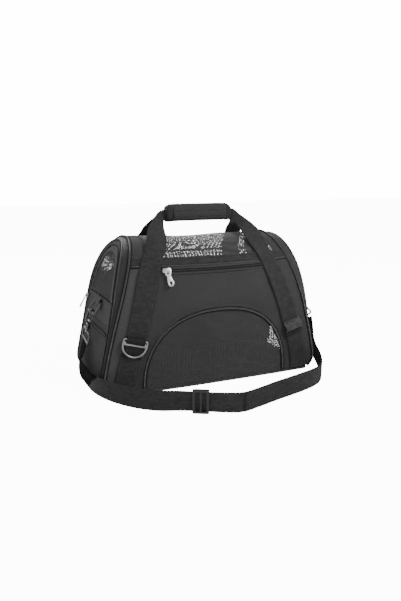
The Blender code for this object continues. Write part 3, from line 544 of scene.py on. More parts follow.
def normals(surface, a, b):
    """The surface's unit normals, away from the cabin."""
    along_a = surface(a + NEAR, b) - surface(a - NEAR, b)
    along_b = surface(a, b + NEAR) - surface(a, b - NEAR)
    normal = unit(np.cross(along_a, along_b))
    inward = np.sum(normal * (surface(a, b) - CABIN_MIDDLE), axis=-1) < 0
    return np.where(inward[..., None], -normal, normal)


def on_wall(face, x, z):
    """Points on a wall, and its unit normals there."""
    return wall(face, x, z), normals(partial(wall, face), x, z)


# Piece building.


def make_piece(name, points, faces, finish, body="bag", weave=None, replaces=(), sharp=None):
    """A named piece that rides on a body, with its finish and its weave coordinates."""
    material, slot = finish
    points = np.asarray(points).reshape(-1, 3)
    mesh = bpy.data.meshes.new(name)
    mesh.from_pydata(points.tolist(), [], faces)
    shape = bmesh.new()
    shape.from_mesh(mesh)
    bmesh.ops.recalc_face_normals(shape, faces=shape.faces)
    shape.to_mesh(mesh)
    shape.free()
    mesh.shade_smooth()
    if sharp:
        mesh.set_sharp_from_angle(angle=math.radians(sharp))
    if weave is None:
        weave = points * (1, 1, 0)
    spread = mesh.attributes.new("weave", "FLOAT_VECTOR", "POINT")
    spread.data.foreach_set("vector", np.asarray(weave, float).reshape(-1))
    mesh.materials.append(material)
    piece = bpy.data.objects.new(name, mesh)
    bpy.context.scene.collection.objects.link(piece)
    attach(piece, body)
    if replaces:
        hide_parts(*replaces)
    return piece


def lengths(points, axis=0):
    """Distance run along one axis of a grid of points, from its start."""
    steps = np.linalg.norm(np.diff(points, axis=axis), axis=-1)
    zero = np.zeros_like(np.take(steps, [0], axis=axis))
    return np.concatenate([zero, np.cumsum(steps, axis=axis)], axis=axis)


def edge_distance(points, sides="abcd"):
    """How far each grid point is from the chosen borders, measured along the grid's own lines."""
    down = lengths(points, 0)
    over = lengths(points, 1)
    found = {"a": down, "b": down[-1:] - down, "c": over, "d": over[:, -1:] - over}
    return np.min([found[side] for side in sides], axis=0)


def waves(points, scale, seed):
    shifted = np.asarray(points).reshape(-1, 3) * scale + (seed * 3.1, seed * 1.7, seed)
    values = [noise.noise(Vector(point)) for point in shifted]
    return np.array(values).reshape(points.shape[:-1])


def sewn(seed, broad=0.0012, pucker=0.0005, dip=0.0013, sides="abcd"):
    """The relief of a sewn cloth panel: slow waves inside, puckers by the seams, and a dip at them."""
    def relief(points):
        away = edge_distance(points, sides)
        inside = 1 - np.exp(-((away / 0.022) ** 2))
        height = broad * waves(points, 16, seed) * inside
        height += pucker * waves(points, 75, seed + 1) * np.exp(-away / 0.013)
        return height - dip * np.exp(-((away / 0.0030) ** 2))

    return relief


def fine_ends(values):
    """Adds one close step inside each end, so that a sheet's rim can be rounded."""
    values = np.asarray(values, float)
    first = values[0] + (values[1] - values[0]) * 0.12
    last = values[-1] - (values[-1] - values[-2]) * 0.12
    return np.concatenate([values[:1], [first], values[1:-1], [last], values[-1:]])


def grid_faces(rows, columns):
    corners = [i * columns + j for i in range(rows - 1) for j in range(columns - 1)]
    return [(k, k + 1, k + columns + 1, k + columns) for k in corners]


def sheet_faces(rows, columns):
    """The faces of a closed sheet: a grid, its underside, and the rim between them."""
    size = rows * columns
    faces = []
    for quad in grid_faces(rows, columns):
        faces += [quad, tuple(size + k for k in reversed(quad))]
    rim = list(range(columns))
    rim += [i * columns + columns - 1 for i in range(1, rows)]
    rim += [(rows - 1) * columns + j for j in range(columns - 2, -1, -1)]
    rim += [i * columns for i in range(rows - 2, 0, -1)]
    for here, after in zip(rim, rim[1:] + rim[:1]):
        faces.append((here, size + here, size + after, after))
    return faces


def cloth_panel(name, surface, a_values, b_values, finish, thick=0.0014, weave=None, relief=None, painted_shading=None,
                **options):
    """A closed cloth sheet on a surface, its outer face lifted by a relief and its rim rounded."""
    a, b = np.meshgrid(fine_ends(a_values), fine_ends(b_values), indexing="ij")
    skin = surface(a, b)
    out = normals(surface, a, b)
    height = relief(skin) if relief else np.zeros(a.shape)
    share = np.ones(a.shape)
    share[[0, -1], :] = RIM_SHARE
    share[:, [0, -1]] = RIM_SHARE
    middle = skin + out * (height - thick / 2)[..., None]
    half = out * thick / 2 * share[..., None]
    spread = weave(skin) if weave else np.stack([lengths(skin, 0), lengths(skin, 1)], axis=-1)
    wear_and_painted_light = 0.10 * np.exp(-edge_distance(skin) / 0.004) * (0.6 + waves(skin, 60, 5))
    # Painted light and shade, where given, is added to the edge wear.
    wear_and_painted_light = np.clip(wear_and_painted_light, 0, 1) + (painted_shading(skin) if painted_shading else 0)
    spread = np.concatenate([spread, wear_and_painted_light[..., None]], axis=-1)
    faces = sheet_faces(*a.shape)
    return make_piece(name, [middle + half, middle - half], faces, finish, weave=[spread] * 2, **options)


def net_panel(name, surface, a_values, b_values, finish, weave, relief, **options):
    """A single sheet of net, lifted by a relief."""
    a, b = np.meshgrid(a_values, b_values, indexing="ij")
    skin = surface(a, b)
    points = skin + normals(surface, a, b) * (relief(skin) - 0.0008)[..., None]
    spread = np.concatenate([weave(skin), np.zeros(a.shape + (1,))], axis=-1)
    return make_piece(name, points, grid_faces(*a.shape), finish, weave=spread, **options)


def smooth(points, per_span):
    """Points along a smooth curve through the given ones."""
    p = np.array(points, float)
    p = np.vstack([2 * p[0] - p[1], p, 2 * p[-1] - p[-2]])
    curve = []
    for i in range(1, len(p) - 2):
        for k in range(per_span):
            t = k / per_span
            cubic = 3 * p[i] - p[i - 1] - 3 * p[i + 1] + p[i + 2]
            square = 2 * p[i - 1] - 5 * p[i] + 4 * p[i + 1] - p[i + 2]
            curve.append(p[i] + 0.5 * ((p[i + 1] - p[i - 1]) * t + square * t**2 + cubic * t**3))
    curve.append(p[-2])
    return np.array(curve)


def smooth_loop(points, per_span):
    """A smooth closed curve through the given points."""
    p = np.array(points, float)
    wrapped = np.vstack([p[-1:], p, p[:2]])
    return smooth(wrapped, per_span)[per_span:per_span * (len(p) + 1)]


def tangents(path, closed=False):
    if closed:
        return unit(np.roll(path, -1, axis=0) - np.roll(path, 1, axis=0))
    return unit(np.gradient(path, axis=0))


def circle(radius, sides=12):
    turn = np.linspace(0, 2 * math.pi, sides, endpoint=False)
    return radius * np.column_stack([np.cos(turn), np.sin(turn)])


def strap_section(width, thick, columns=25):
    """A flat strap's section, with rounded selvedges."""
    a = np.sin(np.linspace(-math.pi / 2, math.pi / 2, columns))
    half = thick / 2 * np.sqrt(np.clip(1 - np.abs(a) ** 10, 0.02, 1))
    upper = np.column_stack([a * width / 2, half])
    return np.concatenate([upper, (upper * (1, -1))[::-1]])


def sweep(path, facing, profile, scale=None, closed=False, round_ends=False):
    """Points, faces and weave of a profile of (across, out) points carried along a path."""
    path = np.asarray(path, float)
    along = tangents(path, closed)
    across = unit(np.cross(along, facing))
    out = np.cross(across, along)
    scale = np.ones((len(path), 2)) if scale is None else np.asarray(scale, float)
    if scale.ndim == 1:
        scale = np.column_stack([scale, scale])
    if round_ends:
        path, across, out, scale = [np.concatenate([a[:1], a, a[-1:]]) for a in (path, across, out, scale)]
        scale[[0, -1]] *= 0.6
        path[0] -= along[0] * 0.0004
        path[-1] += along[-1] * 0.0004
    wide = profile[None, :, 0] * scale[:, 0:1]
    tall = profile[None, :, 1] * scale[:, 1:2]
    rings = path[:, None] + across[:, None] * wide[..., None] + out[:, None] * tall[..., None]
    count, size = rings.shape[:2]
    faces = []
    for i in range(count if closed else count - 1):
        here = i * size
        there = (i + 1) % count * size
        for k in range(size):
            after = (k + 1) % size
            faces.append((here + k, here + after, there + after, there + k))
    if not closed:
        faces.append(tuple(range(size)))
        faces.append(tuple(reversed(range((count - 1) * size, count * size))))
    spread = np.zeros(rings.shape)
    spread[..., 0] = lengths(path)[:, None]
    spread[..., 1] = wide
    return rings.reshape(-1, 3), faces, spread.reshape(-1, 3)


def pieced(name, parts, finish, **options):
    """One piece made of several parts, each with its points, faces and weave."""
    points, faces, spreads = [], [], []
    start = 0
    for part_points, part_faces, spread in parts:
        faces += [tuple(start + k for k in face) for face in part_faces]
        points.append(part_points)
        spreads.append(spread)
        start += len(part_points)
    return make_piece(name, np.concatenate(points), faces, finish, weave=np.concatenate(spreads), **options)


def swept(name, path, facing, profile, finish, scale=None, closed=False, round_ends=False, **options):
    return pieced(name, [sweep(path, facing, profile, scale, closed, round_ends)], finish, **options)


def corded(name, path, facing, width=0.0082, **options):
    """A piping cord, with a near-black strip on both sides of it as painted shade in the seam's recess."""
    facing = unit(facing)
    groove = strap_section(width, 0.0006, columns=9)
    swept(f"{name}_groove", path + facing * 0.0010, facing, groove, SEAM_SHADE, round_ends=True)
    swept(f"{name}_cord", path, facing, circle(PIPE_RADIUS), PIPING, round_ends=True, **options)


def resampled(values, run, wanted):
    return np.column_stack([np.interp(wanted, run, column) for column in np.transpose(values)])


def evenly(path, count=None, pitch=None):
    """The path again in even steps."""
    path = np.asarray(path, float)
    run = lengths(path)
    if count is None:
        count = max(int(run[-1] / pitch), 2)
    return resampled(path, run, np.linspace(0, run[-1], count))


def evenly_closed(loop, count):
    return evenly(np.vstack([loop, loop[:1]]), count=count + 1)[:-1]


def stepped(path, facing, pitch):
    """The path in even steps, and the facing directions at them."""
    fine = evenly(path, pitch=pitch)
    run = lengths(path)
    wanted = np.linspace(0, run[-1], len(fine))
    return fine, unit(resampled(np.broadcast_to(facing, np.shape(path)), run, wanted))


def tree_of(*targets):
    points, faces = [], []
    for target in targets:
        start = len(points)
        points += [vertex.co.copy() for vertex in target.data.vertices]
        faces += [tuple(start + k for k in face.vertices) for face in target.data.polygons]
    return BVHTree.FromPolygons(points, faces)


def laid_on(tree, path, facing, reach=0.012):
    """The path dropped onto a cloth from outside, along the facing directions."""
    dropped = []
    for point, direction in zip(path, facing):
        start = Vector(point + direction * reach)
        hit = tree.ray_cast(start, Vector(-direction), 2 * reach)[0]
        dropped.append(np.array(hit) if hit else point)
    return np.array(dropped)


def stitch_rows(name, rows, cloth=(), pitch=0.0034, body="bag"):
    """Rows of thread stitches, each a small spindle half sunk in the cloth under it."""
    parts = []
    profile = circle(STITCH_RADIUS, 5)
    tree = tree_of(*cloth) if cloth else None
    for path, facing in rows:
        fine, side = stepped(path, facing, pitch)
        if tree:
            fine = laid_on(tree, fine, side)
        for here, after, out in zip(fine[:-1], fine[1:], side):
            step = (after - here) * STITCH_SHARE
            lift = [here + step * s + out * STITCH_RADIUS * (2.2 * g - 1.6) for s, g in STITCH]
            parts.append(sweep(lift, out, profile, [g for s, g in STITCH]))
    return pieced(name, parts, THREAD, body=body)


class Place:
    """A local frame on the bag: across, up and out are unit vectors, at is its origin."""

    def __init__(self, at, across, up):
        self.at = np.asarray(at, float)
        self.across = unit(across)
        self.up = unit(np.asarray(up, float) - self.across * (np.asarray(up, float) @ self.across))
        self.out = np.cross(self.across, self.up)

    def point(self, across, up, out):
        return self.at + across * self.across + up * self.up + out * self.out

    def turned(self, degrees):
        turn = math.radians(degrees)
        across = math.cos(turn) * self.across + math.sin(turn) * self.up
        up = math.cos(turn) * self.up - math.sin(turn) * self.across
        return Place(self.at, across, up)

    def swung(self, degrees, height):
        """Turned about the line along across at a height over it, with the lower side lifted."""
        turn = math.radians(degrees)
        place = Place(self.at, self.across, math.cos(turn) * self.up - math.sin(turn) * self.out)
        place.at = self.point(0, 0, height) - height * place.out
        return place

    def moved(self, across, up, out):
        return Place(self.point(across, up, out), self.across, self.up)


GROUND = Place((0, 0, 0), (1, 0, 0), (0, 1, 0))


def wall_place(face, x, z, out=0.0):
    across = wall(face, x + NEAR, z) - wall(face, x - NEAR, z)
    up = wall(face, x, z + NEAR) - wall(face, x, z - NEAR)
    place = Place(wall(face, x, z), -across if face > 0 else across, up)
    return place.moved(0, 0, out)


def end_place(side, y, z):
    up = (side * (end_x(side, z + NEAR) - end_x(side, z - NEAR)), 0, 2 * NEAR)
    return Place((side * end_x(side, z), y, z), (0, side, 0), up)


def rounded(half_x, half_y, radius, steps=6):
    """The outline of a rectangle with round corners."""
    outline = []
    for corner, (cx, cy) in enumerate(((1, 1), (-1, 1), (-1, -1), (1, -1))):
        for k in range(steps + 1):
            turn = math.pi / 2 * (corner + k / steps)
            x = cx * (half_x - radius) + radius * math.cos(turn)
            outline.append((x, cy * (half_y - radius) + radius * math.sin(turn)))
    return outline


def pressed(place, outlines, low, high, bevel):
    """A flat plate with round edges: the first outline is its edge, and the others are holes in it."""
    curve = bpy.data.curves.new("plate", "CURVE")
    curve.dimensions = "2D"
    curve.fill_mode = "BOTH"
    curve.extrude = (high - low) / 2 - bevel
    curve.bevel_depth = bevel
    curve.bevel_resolution = 2
    curve.offset = -bevel
    for outline in outlines:
        spline = curve.splines.new("POLY")
        spline.points.add(len(outline) - 1)
        for point, (x, y) in zip(spline.points, outline):
            point.co = (x, y, 0, 1)
        spline.use_cyclic_u = True
    helper = bpy.data.objects.new("plate", curve)
    bpy.context.scene.collection.objects.link(helper)
    made = evaluated_mesh(helper)
    bpy.data.objects.remove(helper)
    shape = bmesh.new()
    shape.from_mesh(made)
    bmesh.ops.remove_doubles(shape, verts=shape.verts, dist=2e-6)
    shape.verts.index_update()
    lift = (low + high) / 2
    points = np.array([place.point(v.co.x, v.co.y, v.co.z + lift) for v in shape.verts])
    faces = [tuple(v.index for v in face.verts) for face in shape.faces]
    shape.free()
    bpy.data.meshes.remove(made)
    return points, faces, np.zeros((len(points), 3))


def evaluated_mesh(piece):
    graph = bpy.context.evaluated_depsgraph_get()
    return bpy.data.meshes.new_from_object(piece.evaluated_get(graph))


def bent(place, sketch, half_width, thick, per_span=6):
    """A strap bent in the up-out plane of a place, half_width to each side."""
    path = np.array([place.point(0, u, o) for u, o in smooth(sketch, per_span)])
    facing = np.cross(tangents(path), place.across)
    return sweep(path, facing, strap_section(2 * half_width, thick), round_ends=True)


# The shell's panels.


def window_outline(t, grow):
    turn = math.pi * (1 - np.asarray(t, float))
    x = np.copysign(np.abs(np.cos(turn)) ** (2 / WINDOW_POWER), np.cos(turn))
    z = np.clip(np.sin(turn), 0, 1) ** (2 / WINDOW_POWER)
    return (WINDOW_HALF + grow) * x, SKIRT_Z + (WINDOW_TOP + grow - SKIRT_Z) * z


def front_outline(t):
    """The front panel's outer edge, cornered at a quarter and three quarters of t."""
    level = np.clip(np.minimum(t, 1 - t) * 4, 0, 1)
    z = SKIRT_Z + (SEAM_Z - SKIRT_Z) * level
    over = np.clip((t - 0.5) * 4, -1, 1)
    return over * half_length(z), z


def handle_drift(face, side, z):
    return np.interp(z, HANDLE_DRIFT_Z, HANDLE_DRIFT[face, side])


def wall_relief(face, seed):
    """A wall panel's relief, kept low where a handle's webbing lies on it."""
    reach, heights = zip(*HANDLE_LEG)

    def relief(skin):
        height = sewn(seed, broad=0.0034, pucker=0.0007)(skin)
        x, z = skin[..., 0], skin[..., 2]
        legs = [side * np.interp(z, heights, reach) + handle_drift(face, side, z) for side in SIDES.values()]
        away = np.min([np.abs(x - leg) for leg in legs], axis=0)
        free = np.clip((away - 0.020) / 0.020, 0, 1)
        return np.where(height > 0, height * free, height)

    return relief


def flat_weave(first, second):
    """Weave coordinates from two of a point's own."""
    def weave(skin):
        return np.stack([skin[..., second], skin[..., first]], axis=-1)

    return weave


def left_edge_painted_light(skin):
    """Painted light: the front panel is paler between the left leg and the left end."""
    from_edge = half_length(skin[..., 2]) + skin[..., 0]
    return 0.9 * np.clip((0.036 - from_edge) / 0.012, 0, 1)


def window_line(grow):
    return on_wall(-1, *window_outline(np.linspace(0.003, 0.997, 141), grow))


def side_rows(face, top):
    """Stitch rows up the two sides of a wall."""
    z = np.linspace(0.012, top, 60)
    return [on_wall(face, side * (half_length(z) - SIDE_STITCH), z) for side in SIDES.values()]


def build_front():
    def skin(t, r):
        inner_x, inner_z = window_outline(t, 0)
        outer_x, outer_z = front_outline(t)
        return wall(-1, inner_x + (outer_x - inner_x) * r, inner_z + (outer_z - inner_z) * r)

    panel = cloth_panel("front_panel_cloth", skin, np.linspace(0.0005, 0.9995, 201), np.linspace(0, 1, 25),
                        FABRIC, weave=flat_weave(0, 2), relief=wall_relief(-1, 3), painted_shading=left_edge_painted_light,
                        replaces=["front_panel"])

    def net(a, b):
        z = SKIRT_Z + (WINDOW_TOP - SKIRT_Z) * (1 - (1 - a) ** 2)
        rise = np.clip((z - SKIRT_Z) / (WINDOW_TOP - SKIRT_Z), 0, 0.9999)
        half = WINDOW_HALF * (1 - rise**WINDOW_POWER) ** (1 / WINDOW_POWER)
        return wall(-1, half * (2 * b - 1), z)

    net_panel("window_net_cloth", net, np.linspace(0, 0.997, 36), np.linspace(0, 1, 60), NET,
              flat_weave(0, 2), sewn(11, broad=0.0026, pucker=0.0003, dip=0.0006), replaces=["window_mesh"])
    path, facing = window_line(0)
    corded("window_piping", path - facing * 0.0004, facing, replaces=["window_piping"])
    path, facing = window_line(0.0052)
    on_cloth = laid_on(tree_of(panel), path, facing) + facing * PROUD
    binding = swept("window_binding", evenly(on_cloth, count=141), facing, strap_section(0.0066, 0.0011),
                    SATIN, round_ends=True)
    stitch_rows("window_stitches", [window_line(grow) for grow in (0.0036, 0.0072)], [panel, binding])
    stitch_rows("front_stitches", side_rows(-1, SEAM_Z - 0.004), [panel])
    return panel


def build_rear():
    def level(low, high):
        def skin(a, b):
            z = low + (high - low) * a
            return wall(1, half_length(z) * (2 * b - 1), z)

        return skin

    def across(z, inset):
        return on_wall(1, np.linspace(-1, 1, 90) * (half_length(z) - inset), np.full(90, z))

    panel = cloth_panel("rear_panel_cloth", level(SKIRT_Z, REAR_NET_Z), np.linspace(0, 1, 48),
                        np.linspace(0, 1, 100), FABRIC, weave=flat_weave(0, 2), relief=wall_relief(1, 23),
                        replaces=["rear_panel"])
    net_panel("rear_net_cloth", level(REAR_NET_Z - 0.004, SEAM_Z), np.linspace(0, 1, 14),
              np.linspace(0, 1, 90), TOP_NET, flat_weave(2, 0), sewn(27, pucker=0.0004, dip=0.0))
    path, facing = across(REAR_NET_Z, 0.004)
    swept("rear_net_hem", path + facing * PROUD, facing, strap_section(0.0090, 0.0012), SATIN,
          round_ends=True)
    rows = [across(z, LEVEL_STITCH) for z in (0.0125, REAR_NET_Z - 0.0072)]
    stitch_rows("rear_stitches", side_rows(1, REAR_NET_Z - 0.008) + rows, [panel])


def band_inset(name, run):
    """How far a top band reaches in from the end. The right one narrows behind the ridge."""
    if name is None:
        return 0.0
    narrow = 0.011 if name == "right" else 0.0
    return TOP_BAND[name] - narrow * np.clip(run / (0.3 * SEAM_RUN), 0, 1)


def build_top():
    runs = np.linspace(-SEAM_RUN, SEAM_RUN, 70)
    edge = half_length(section(runs)[1])

    def strip(start, end, overlap=0.0):
        def skin(run, b):
            edge = half_length(section(run)[1])
            first, last = [side * (edge - band_inset(name, run) + overlap) for side, name in (start, end)]
            return shell((first * (1 - b) + last * b) / edge, run)

        return skin

    def sag(skin):
        inside = 1 - np.exp(-edge_distance(skin) / 0.05)
        return sewn(41, broad=0.0022, pucker=0.0005, dip=0.0)(skin) - 0.0030 * inside

    def weave(skin):
        return np.stack([lengths(skin), skin[..., 0]], axis=-1)

    bands = []
    for name, side in SIDES.items():
        bands.append(cloth_panel(f"top_{name}_band_cloth", strip((side, name), (side, None)), runs,
                                 np.linspace(0, 1, 9), FABRIC, relief=sewn(31, broad=0.0006, dip=0.0009),
                                 replaces=[f"top_{name}_band"]))
    net_panel("top_net_cloth", strip((-1, "left"), (1, "right"), overlap=0.004), runs, np.linspace(0, 1, 90),
              TOP_NET, weave, sag, replaces=["top_mesh"])
    rows = []
    for name, side in SIDES.items():
        for inset in (band_inset(name, runs) - 0.0025, SIDE_STITCH):
            across = side * (edge - inset) / edge
            rows.append((shell(across, runs), normals(shell, across, runs)))
    stitch_rows("top_stitches", rows, bands)
    across = np.linspace(-0.985, 0.985, 120)

    def along_wall(run):
        run = np.full(120, run)
        return shell(across, run), normals(shell, across, run)

    for name, face in FACES.items():
        path, facing = along_wall(face * SEAM_RUN)
        corded(f"{name}_seam", path + facing * PIPE_SINK, facing, SEAM_WIDTH[name],
               replaces=[f"{name}_seam_piping"])
        if name == "front":
            path, facing = along_wall(0.0092 - SEAM_RUN)
            swept("front_top_hem", path + facing * PROUD, facing, strap_section(0.0160, 0.0012), WEBBING,
                  round_ends=True)


def refinish(node, finish):
    """Gives a CAD node that stays a finish of its own."""
    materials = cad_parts[node].data.materials
    materials.clear()
    materials.append(finish[0])


def build_base():
    low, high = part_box("base_panel")
    pipe_z, skirt_z = 0.0027, 0.0046
    footprint = np.array([LENGTH / 2, DEPTH / 2])
    base_half = float(half_length(pipe_z))
    front_reach = base_half - 0.0015
    end_reach = DEPTH / 2 - 0.007
    long_edge = [(x, -DEPTH / 2 - BASE_BULGE * (1 - (x / front_reach) ** 2))
                 for x in np.linspace(-front_reach, front_reach, 49)]
    short_edge = [(base_half + END_STEP_LOW, y) for y in np.linspace(-end_reach, end_reach, 17)]
    corner = DEPTH / 2 - 0.0014
    near, far = [[(base_half + 0.0042, y)] for y in (-corner, corner)]
    loop = np.array(long_edge + short_edge)
    loop = np.concatenate([loop, -loop])
    hem = np.array(long_edge + near + short_edge + far)
    hem = np.concatenate([hem, -hem]) * (1 - 0.0012 / footprint)
    path = np.column_stack([loop, np.full(len(loop), pipe_z)])
    swept("base_piping_cord", path, UPWARD, circle(PIPE_RADIUS), PIPING, closed=True,
          replaces=["base_piping"])
    skirt = np.column_stack([hem, np.full(len(hem), skirt_z)])
    swept("base_skirt", skirt, unit(skirt * (0.45, 1.0, 0)), strap_section(0.0078, 0.0012, columns=9), FABRIC,
          closed=True)
    panel = pressed(GROUND, [loop * (1 - 0.0036 / footprint)], low[2], high[2], 0.0006)
    pieced("base_panel_cloth", [panel], FABRIC, replaces=["base_panel"])
    refinish("base_board", BOARD)


def build_mat():
    """The padded mat: a remeshed slab blown up by cloth simulation, with a corded edge."""
    low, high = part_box("pet_mat")
    half_x, half_y = (high[0] - low[0]) / 2, (high[1] - low[1]) / 2
    outline = rounded(half_x - MAT_INSET, half_y - MAT_INSET, 0.016)
    points, faces, _ = pressed(GROUND, [outline], low[2] + 0.003, high[2] - 0.003, 0.003)
    mat = make_piece("pet_mat_cushion", points, faces, PLUSH, body="pet_mat", replaces=["pet_mat"])
    remesh = mat.modifiers.new("Remesh", "REMESH")
    remesh.mode = "VOXEL"
    remesh.voxel_size = 0.005
    take_modifiers(mat)
    before = vertex_points(mat)
    cloth = mat.modifiers.new("Cloth", "CLOTH")
    cloth.settings.use_pressure = True
    cloth.settings.uniform_pressure_force = 4
    cloth.settings.effector_weights.gravity = 0
    for step in range(1, 21):
        bpy.context.scene.frame_set(step)
    take_modifiers(mat)
    bpy.context.scene.frame_set(1)
    shift = vertex_points(mat) - before
    size = np.linalg.norm(shift, axis=1, keepdims=True)
    after = before + shift * np.minimum(1, MAT_SWELL / np.maximum(size, 1e-9))
    after[:, 2] = np.clip(after[:, 2], low[2] + 0.0004, high[2] + 0.003)
    mat.data.vertices.foreach_set("co", after.reshape(-1))
    subdivide = mat.modifiers.new("Smooth", "SUBSURF")
    subdivide.levels = subdivide.render_levels = 1
    take_modifiers(mat)
    mat.data.shade_smooth()
    outline = rounded(half_x - 0.001, half_y - 0.001, 0.017)
    edge = evenly(np.column_stack([outline, np.zeros(28)]), pitch=0.006)[:-1]
    edge[:, 2] = (low[2] + high[2]) / 2
    swept("pet_mat_piping", edge, UPWARD, circle(0.0020, 10), PIPING, closed=True, body="pet_mat")


def vertex_points(piece):
    points = np.empty(len(piece.data.vertices) * 3)
    piece.data.vertices.foreach_get("co", points)
    return points.reshape(-1, 3)


def take_modifiers(piece):
    """Applies a piece's modifiers to its mesh."""
    mesh = evaluated_mesh(piece)
    piece.modifiers.clear()
    piece.data = mesh


# The two ends.


def end_strip(side, low, outer, inner):
    """A surface between two arches of an end panel, each given by its inset and drop."""
    def skin(t, r):
        first, last = [end_outline(side, float(run_at(low / (1 - drop / HEIGHT))) * (2 * t - 1), inset, drop)
                       for inset, drop in (outer, inner)]
        mixed = first + (last - first) * np.asarray(r)[..., None]
        mixed[..., 0] = side * end_x(side, mixed[..., 2])
        return mixed

    return skin


def end_level(side, bottom, top, inset, drop, ease=None):
    """A surface across an end panel, from a low height to a high one."""
    def skin(a, b):
        z = bottom + (top - bottom) * (ease(a) if ease else a)
        half = end_half_depth(z, inset, drop)
        return np.stack([side * end_x(side, z), half * (2 * b - 1), z], axis=-1)

    return skin


def away_from_cabin(points, side):
    """Facing directions for a line along an end's arch: outward in its own plane."""
    facing = points - CABIN_MIDDLE
    facing[:, 0] = side * 0.02
    return unit(facing)


def teeth_along(path, facing):
    """A zip's coil: one short rounded bar after another across the tape."""
    fine, side = stepped(path, facing, TOOTH_PITCH)
    across = unit(np.cross(tangents(fine), side))
    profile = circle(0.00058, 6)
    parts = []
    for point, out, over in zip(fine, side, across):
        bar = [point + over * TOOTH_HALF * s + out * 0.0004 * (1 - s * s) for s in (-1, -0.55, 0.55, 1)]
        parts.append(sweep(bar, out, profile, [0.6, 1, 1, 0.6]))
    return parts


def build_end(name, side):
    foot = np.linspace(0.93, 1, 12)
    shares = np.concatenate([-foot[::-1], np.linspace(-0.92, 0.92, 90), foot])
    runs = shares * SKIRT_RUN

    def gusset(run, r):
        start = end_corner(side, run)
        end = end_outline(side, run, END_INSET, END_DROP)
        return start + (end - start) * np.asarray(r)[..., None]

    cloth_panel(f"{name}_gusset_cloth", gusset, runs, np.linspace(0, 1, 6), SATIN,
                relief=sewn(51, broad=0.0004, pucker=0.0003, dip=0.0004, sides="cd"),
                replaces=[f"{name}_gusset"])
    inner = end_outline(side, runs, END_INSET, END_DROP)
    inner += normals(gusset, runs, np.ones(len(runs))) * PIPE_SINK
    for row, path in (("outer", end_corner(side, runs)), ("inner", inner)):
        corded(f"{name}_{row}", path, away_from_cabin(path, side), 0.0074, replaces=[f"{name}_{row}_piping"])

    far, far_drop = END_INSET + BORDER_WIDTH, END_DROP + BORDER_WIDTH
    inset, drop = far + GAP, far_drop + GAP
    weave = flat_weave(1, 2)
    strip = end_strip(side, SKIRT_Z, (END_INSET, END_DROP), (far, far_drop))
    border = cloth_panel(f"{name}_border_cloth", strip, (shares + 1) / 2, np.linspace(0, 1, 7), SATIN,
                         weave=weave, relief=sewn(61, broad=0.0008, pucker=0.0003, dip=0.0004, sides="cd"),
                         replaces=[f"{name}_end_border"])
    tucked = inset - 0.0035
    columns = np.linspace(0, 1, 50)
    belt = cloth_panel(f"{name}_belt_cloth", end_level(side, BELT_LOW, BELT_HIGH, tucked, drop),
                       np.linspace(0, 1, 14), columns, WEBBING, thick=0.0016, weave=flat_weave(2, 1),
                       relief=sewn(71, broad=0.0005, pucker=0.0002, dip=0.0019, sides="cd"),
                       replaces=[f"{name}_belt"])
    lower = end_level(side, SKIRT_Z, BELT_LOW + 0.003, tucked, drop)
    rows = np.concatenate([np.linspace(0, 0.2, 10), np.linspace(0.22, 1, 26)])
    relief = sewn(81, broad=0.0022, pucker=0.0005, dip=0.0019)
    if name == "left":
        # The left end's lower panel is darkened all over: painted shade.
        cloth_panel("left_lower_cloth", lower, rows, columns, FABRIC, weave=weave, relief=relief,
                    painted_shading=lambda skin: -0.55, replaces=["left_lower_panel"])
    else:
        net_panel("right_lower_net", lower, rows, columns, NET, weave, relief, replaces=["right_lower_mesh"])

    door = f"{name}_door"
    rim, rim_drop = inset + DOOR_BORDER, drop + DOOR_BORDER
    strip = end_strip(side, DOOR_LOW, (inset, drop), (rim, rim_drop))
    bound_edge = cloth_panel(f"{door}_border_cloth", strip, np.linspace(0, 1, 80), np.linspace(0, 1, 6),
                             SATIN, body=door, weave=weave,
                             relief=sewn(91, broad=0.0004, pucker=0.0002, dip=0.0003, sides="cd"),
                             replaces=[f"{door}_border"])
    tuck = 0.003
    net = end_level(side, DOOR_LOW, HEIGHT - rim_drop + tuck, rim - tuck, rim_drop - tuck,
                    ease=lambda a: 1 - (1 - a) ** 2)
    net_panel(f"{door}_net", net, np.linspace(0, 0.985, 30), np.linspace(0, 1, 40),
              {"left": DENSE_SHADED_NET, "right": NET}[name], weave,
              sewn(95, broad=0.0018, pucker=0.0003, dip=0.0006), body=door, replaces=[f"{door}_mesh"])

    def arch(low, inset, drop, start=0.02, end=0.98, count=140):
        line = end_strip(side, low, (inset, drop), (inset, drop))
        return line(np.linspace(start, end, count), np.zeros(count))

    facing = unit(np.array([side, 0, 0.35]))
    seam = arch(DOOR_LOW, far - 0.0012, far_drop - 0.0012, 0.014, 0.986, 120)
    pieced(f"{door}_teeth", teeth_along(seam + facing * 0.0006, facing), TEETH)
    out = (side, 0, 0.3)
    ways = [(END_INSET + 0.0040, END_DROP + 0.0040), (far - 0.0026, far_drop - 0.0026)]
    rows = [(arch(SKIRT_Z + 0.006, *way), out) for way in ways]
    stitch_rows(f"{name}_border_stitches", rows, [border])
    steps = (0.0026, DOOR_BORDER - 0.0022)
    rows = [(arch(DOOR_LOW + 0.002, inset + step, drop + step), out) for step in steps]
    stitch_rows(f"{door}_stitches", rows, [bound_edge], body=door)
    rows = []
    for z in (BELT_LOW + 0.0030, BELT_HIGH - 0.0030):
        half = float(end_half_depth(z, inset, drop)) - 0.001
        ends = [(side * end_x(side, z), y, z) for y in np.linspace(-half, half, 60)]
        rows.append((np.array(ends), out))
    stitch_rows(f"{name}_belt_stitches", rows, [belt])
    refinish(f"{name}_frame_wire", STEEL)


# Zips.


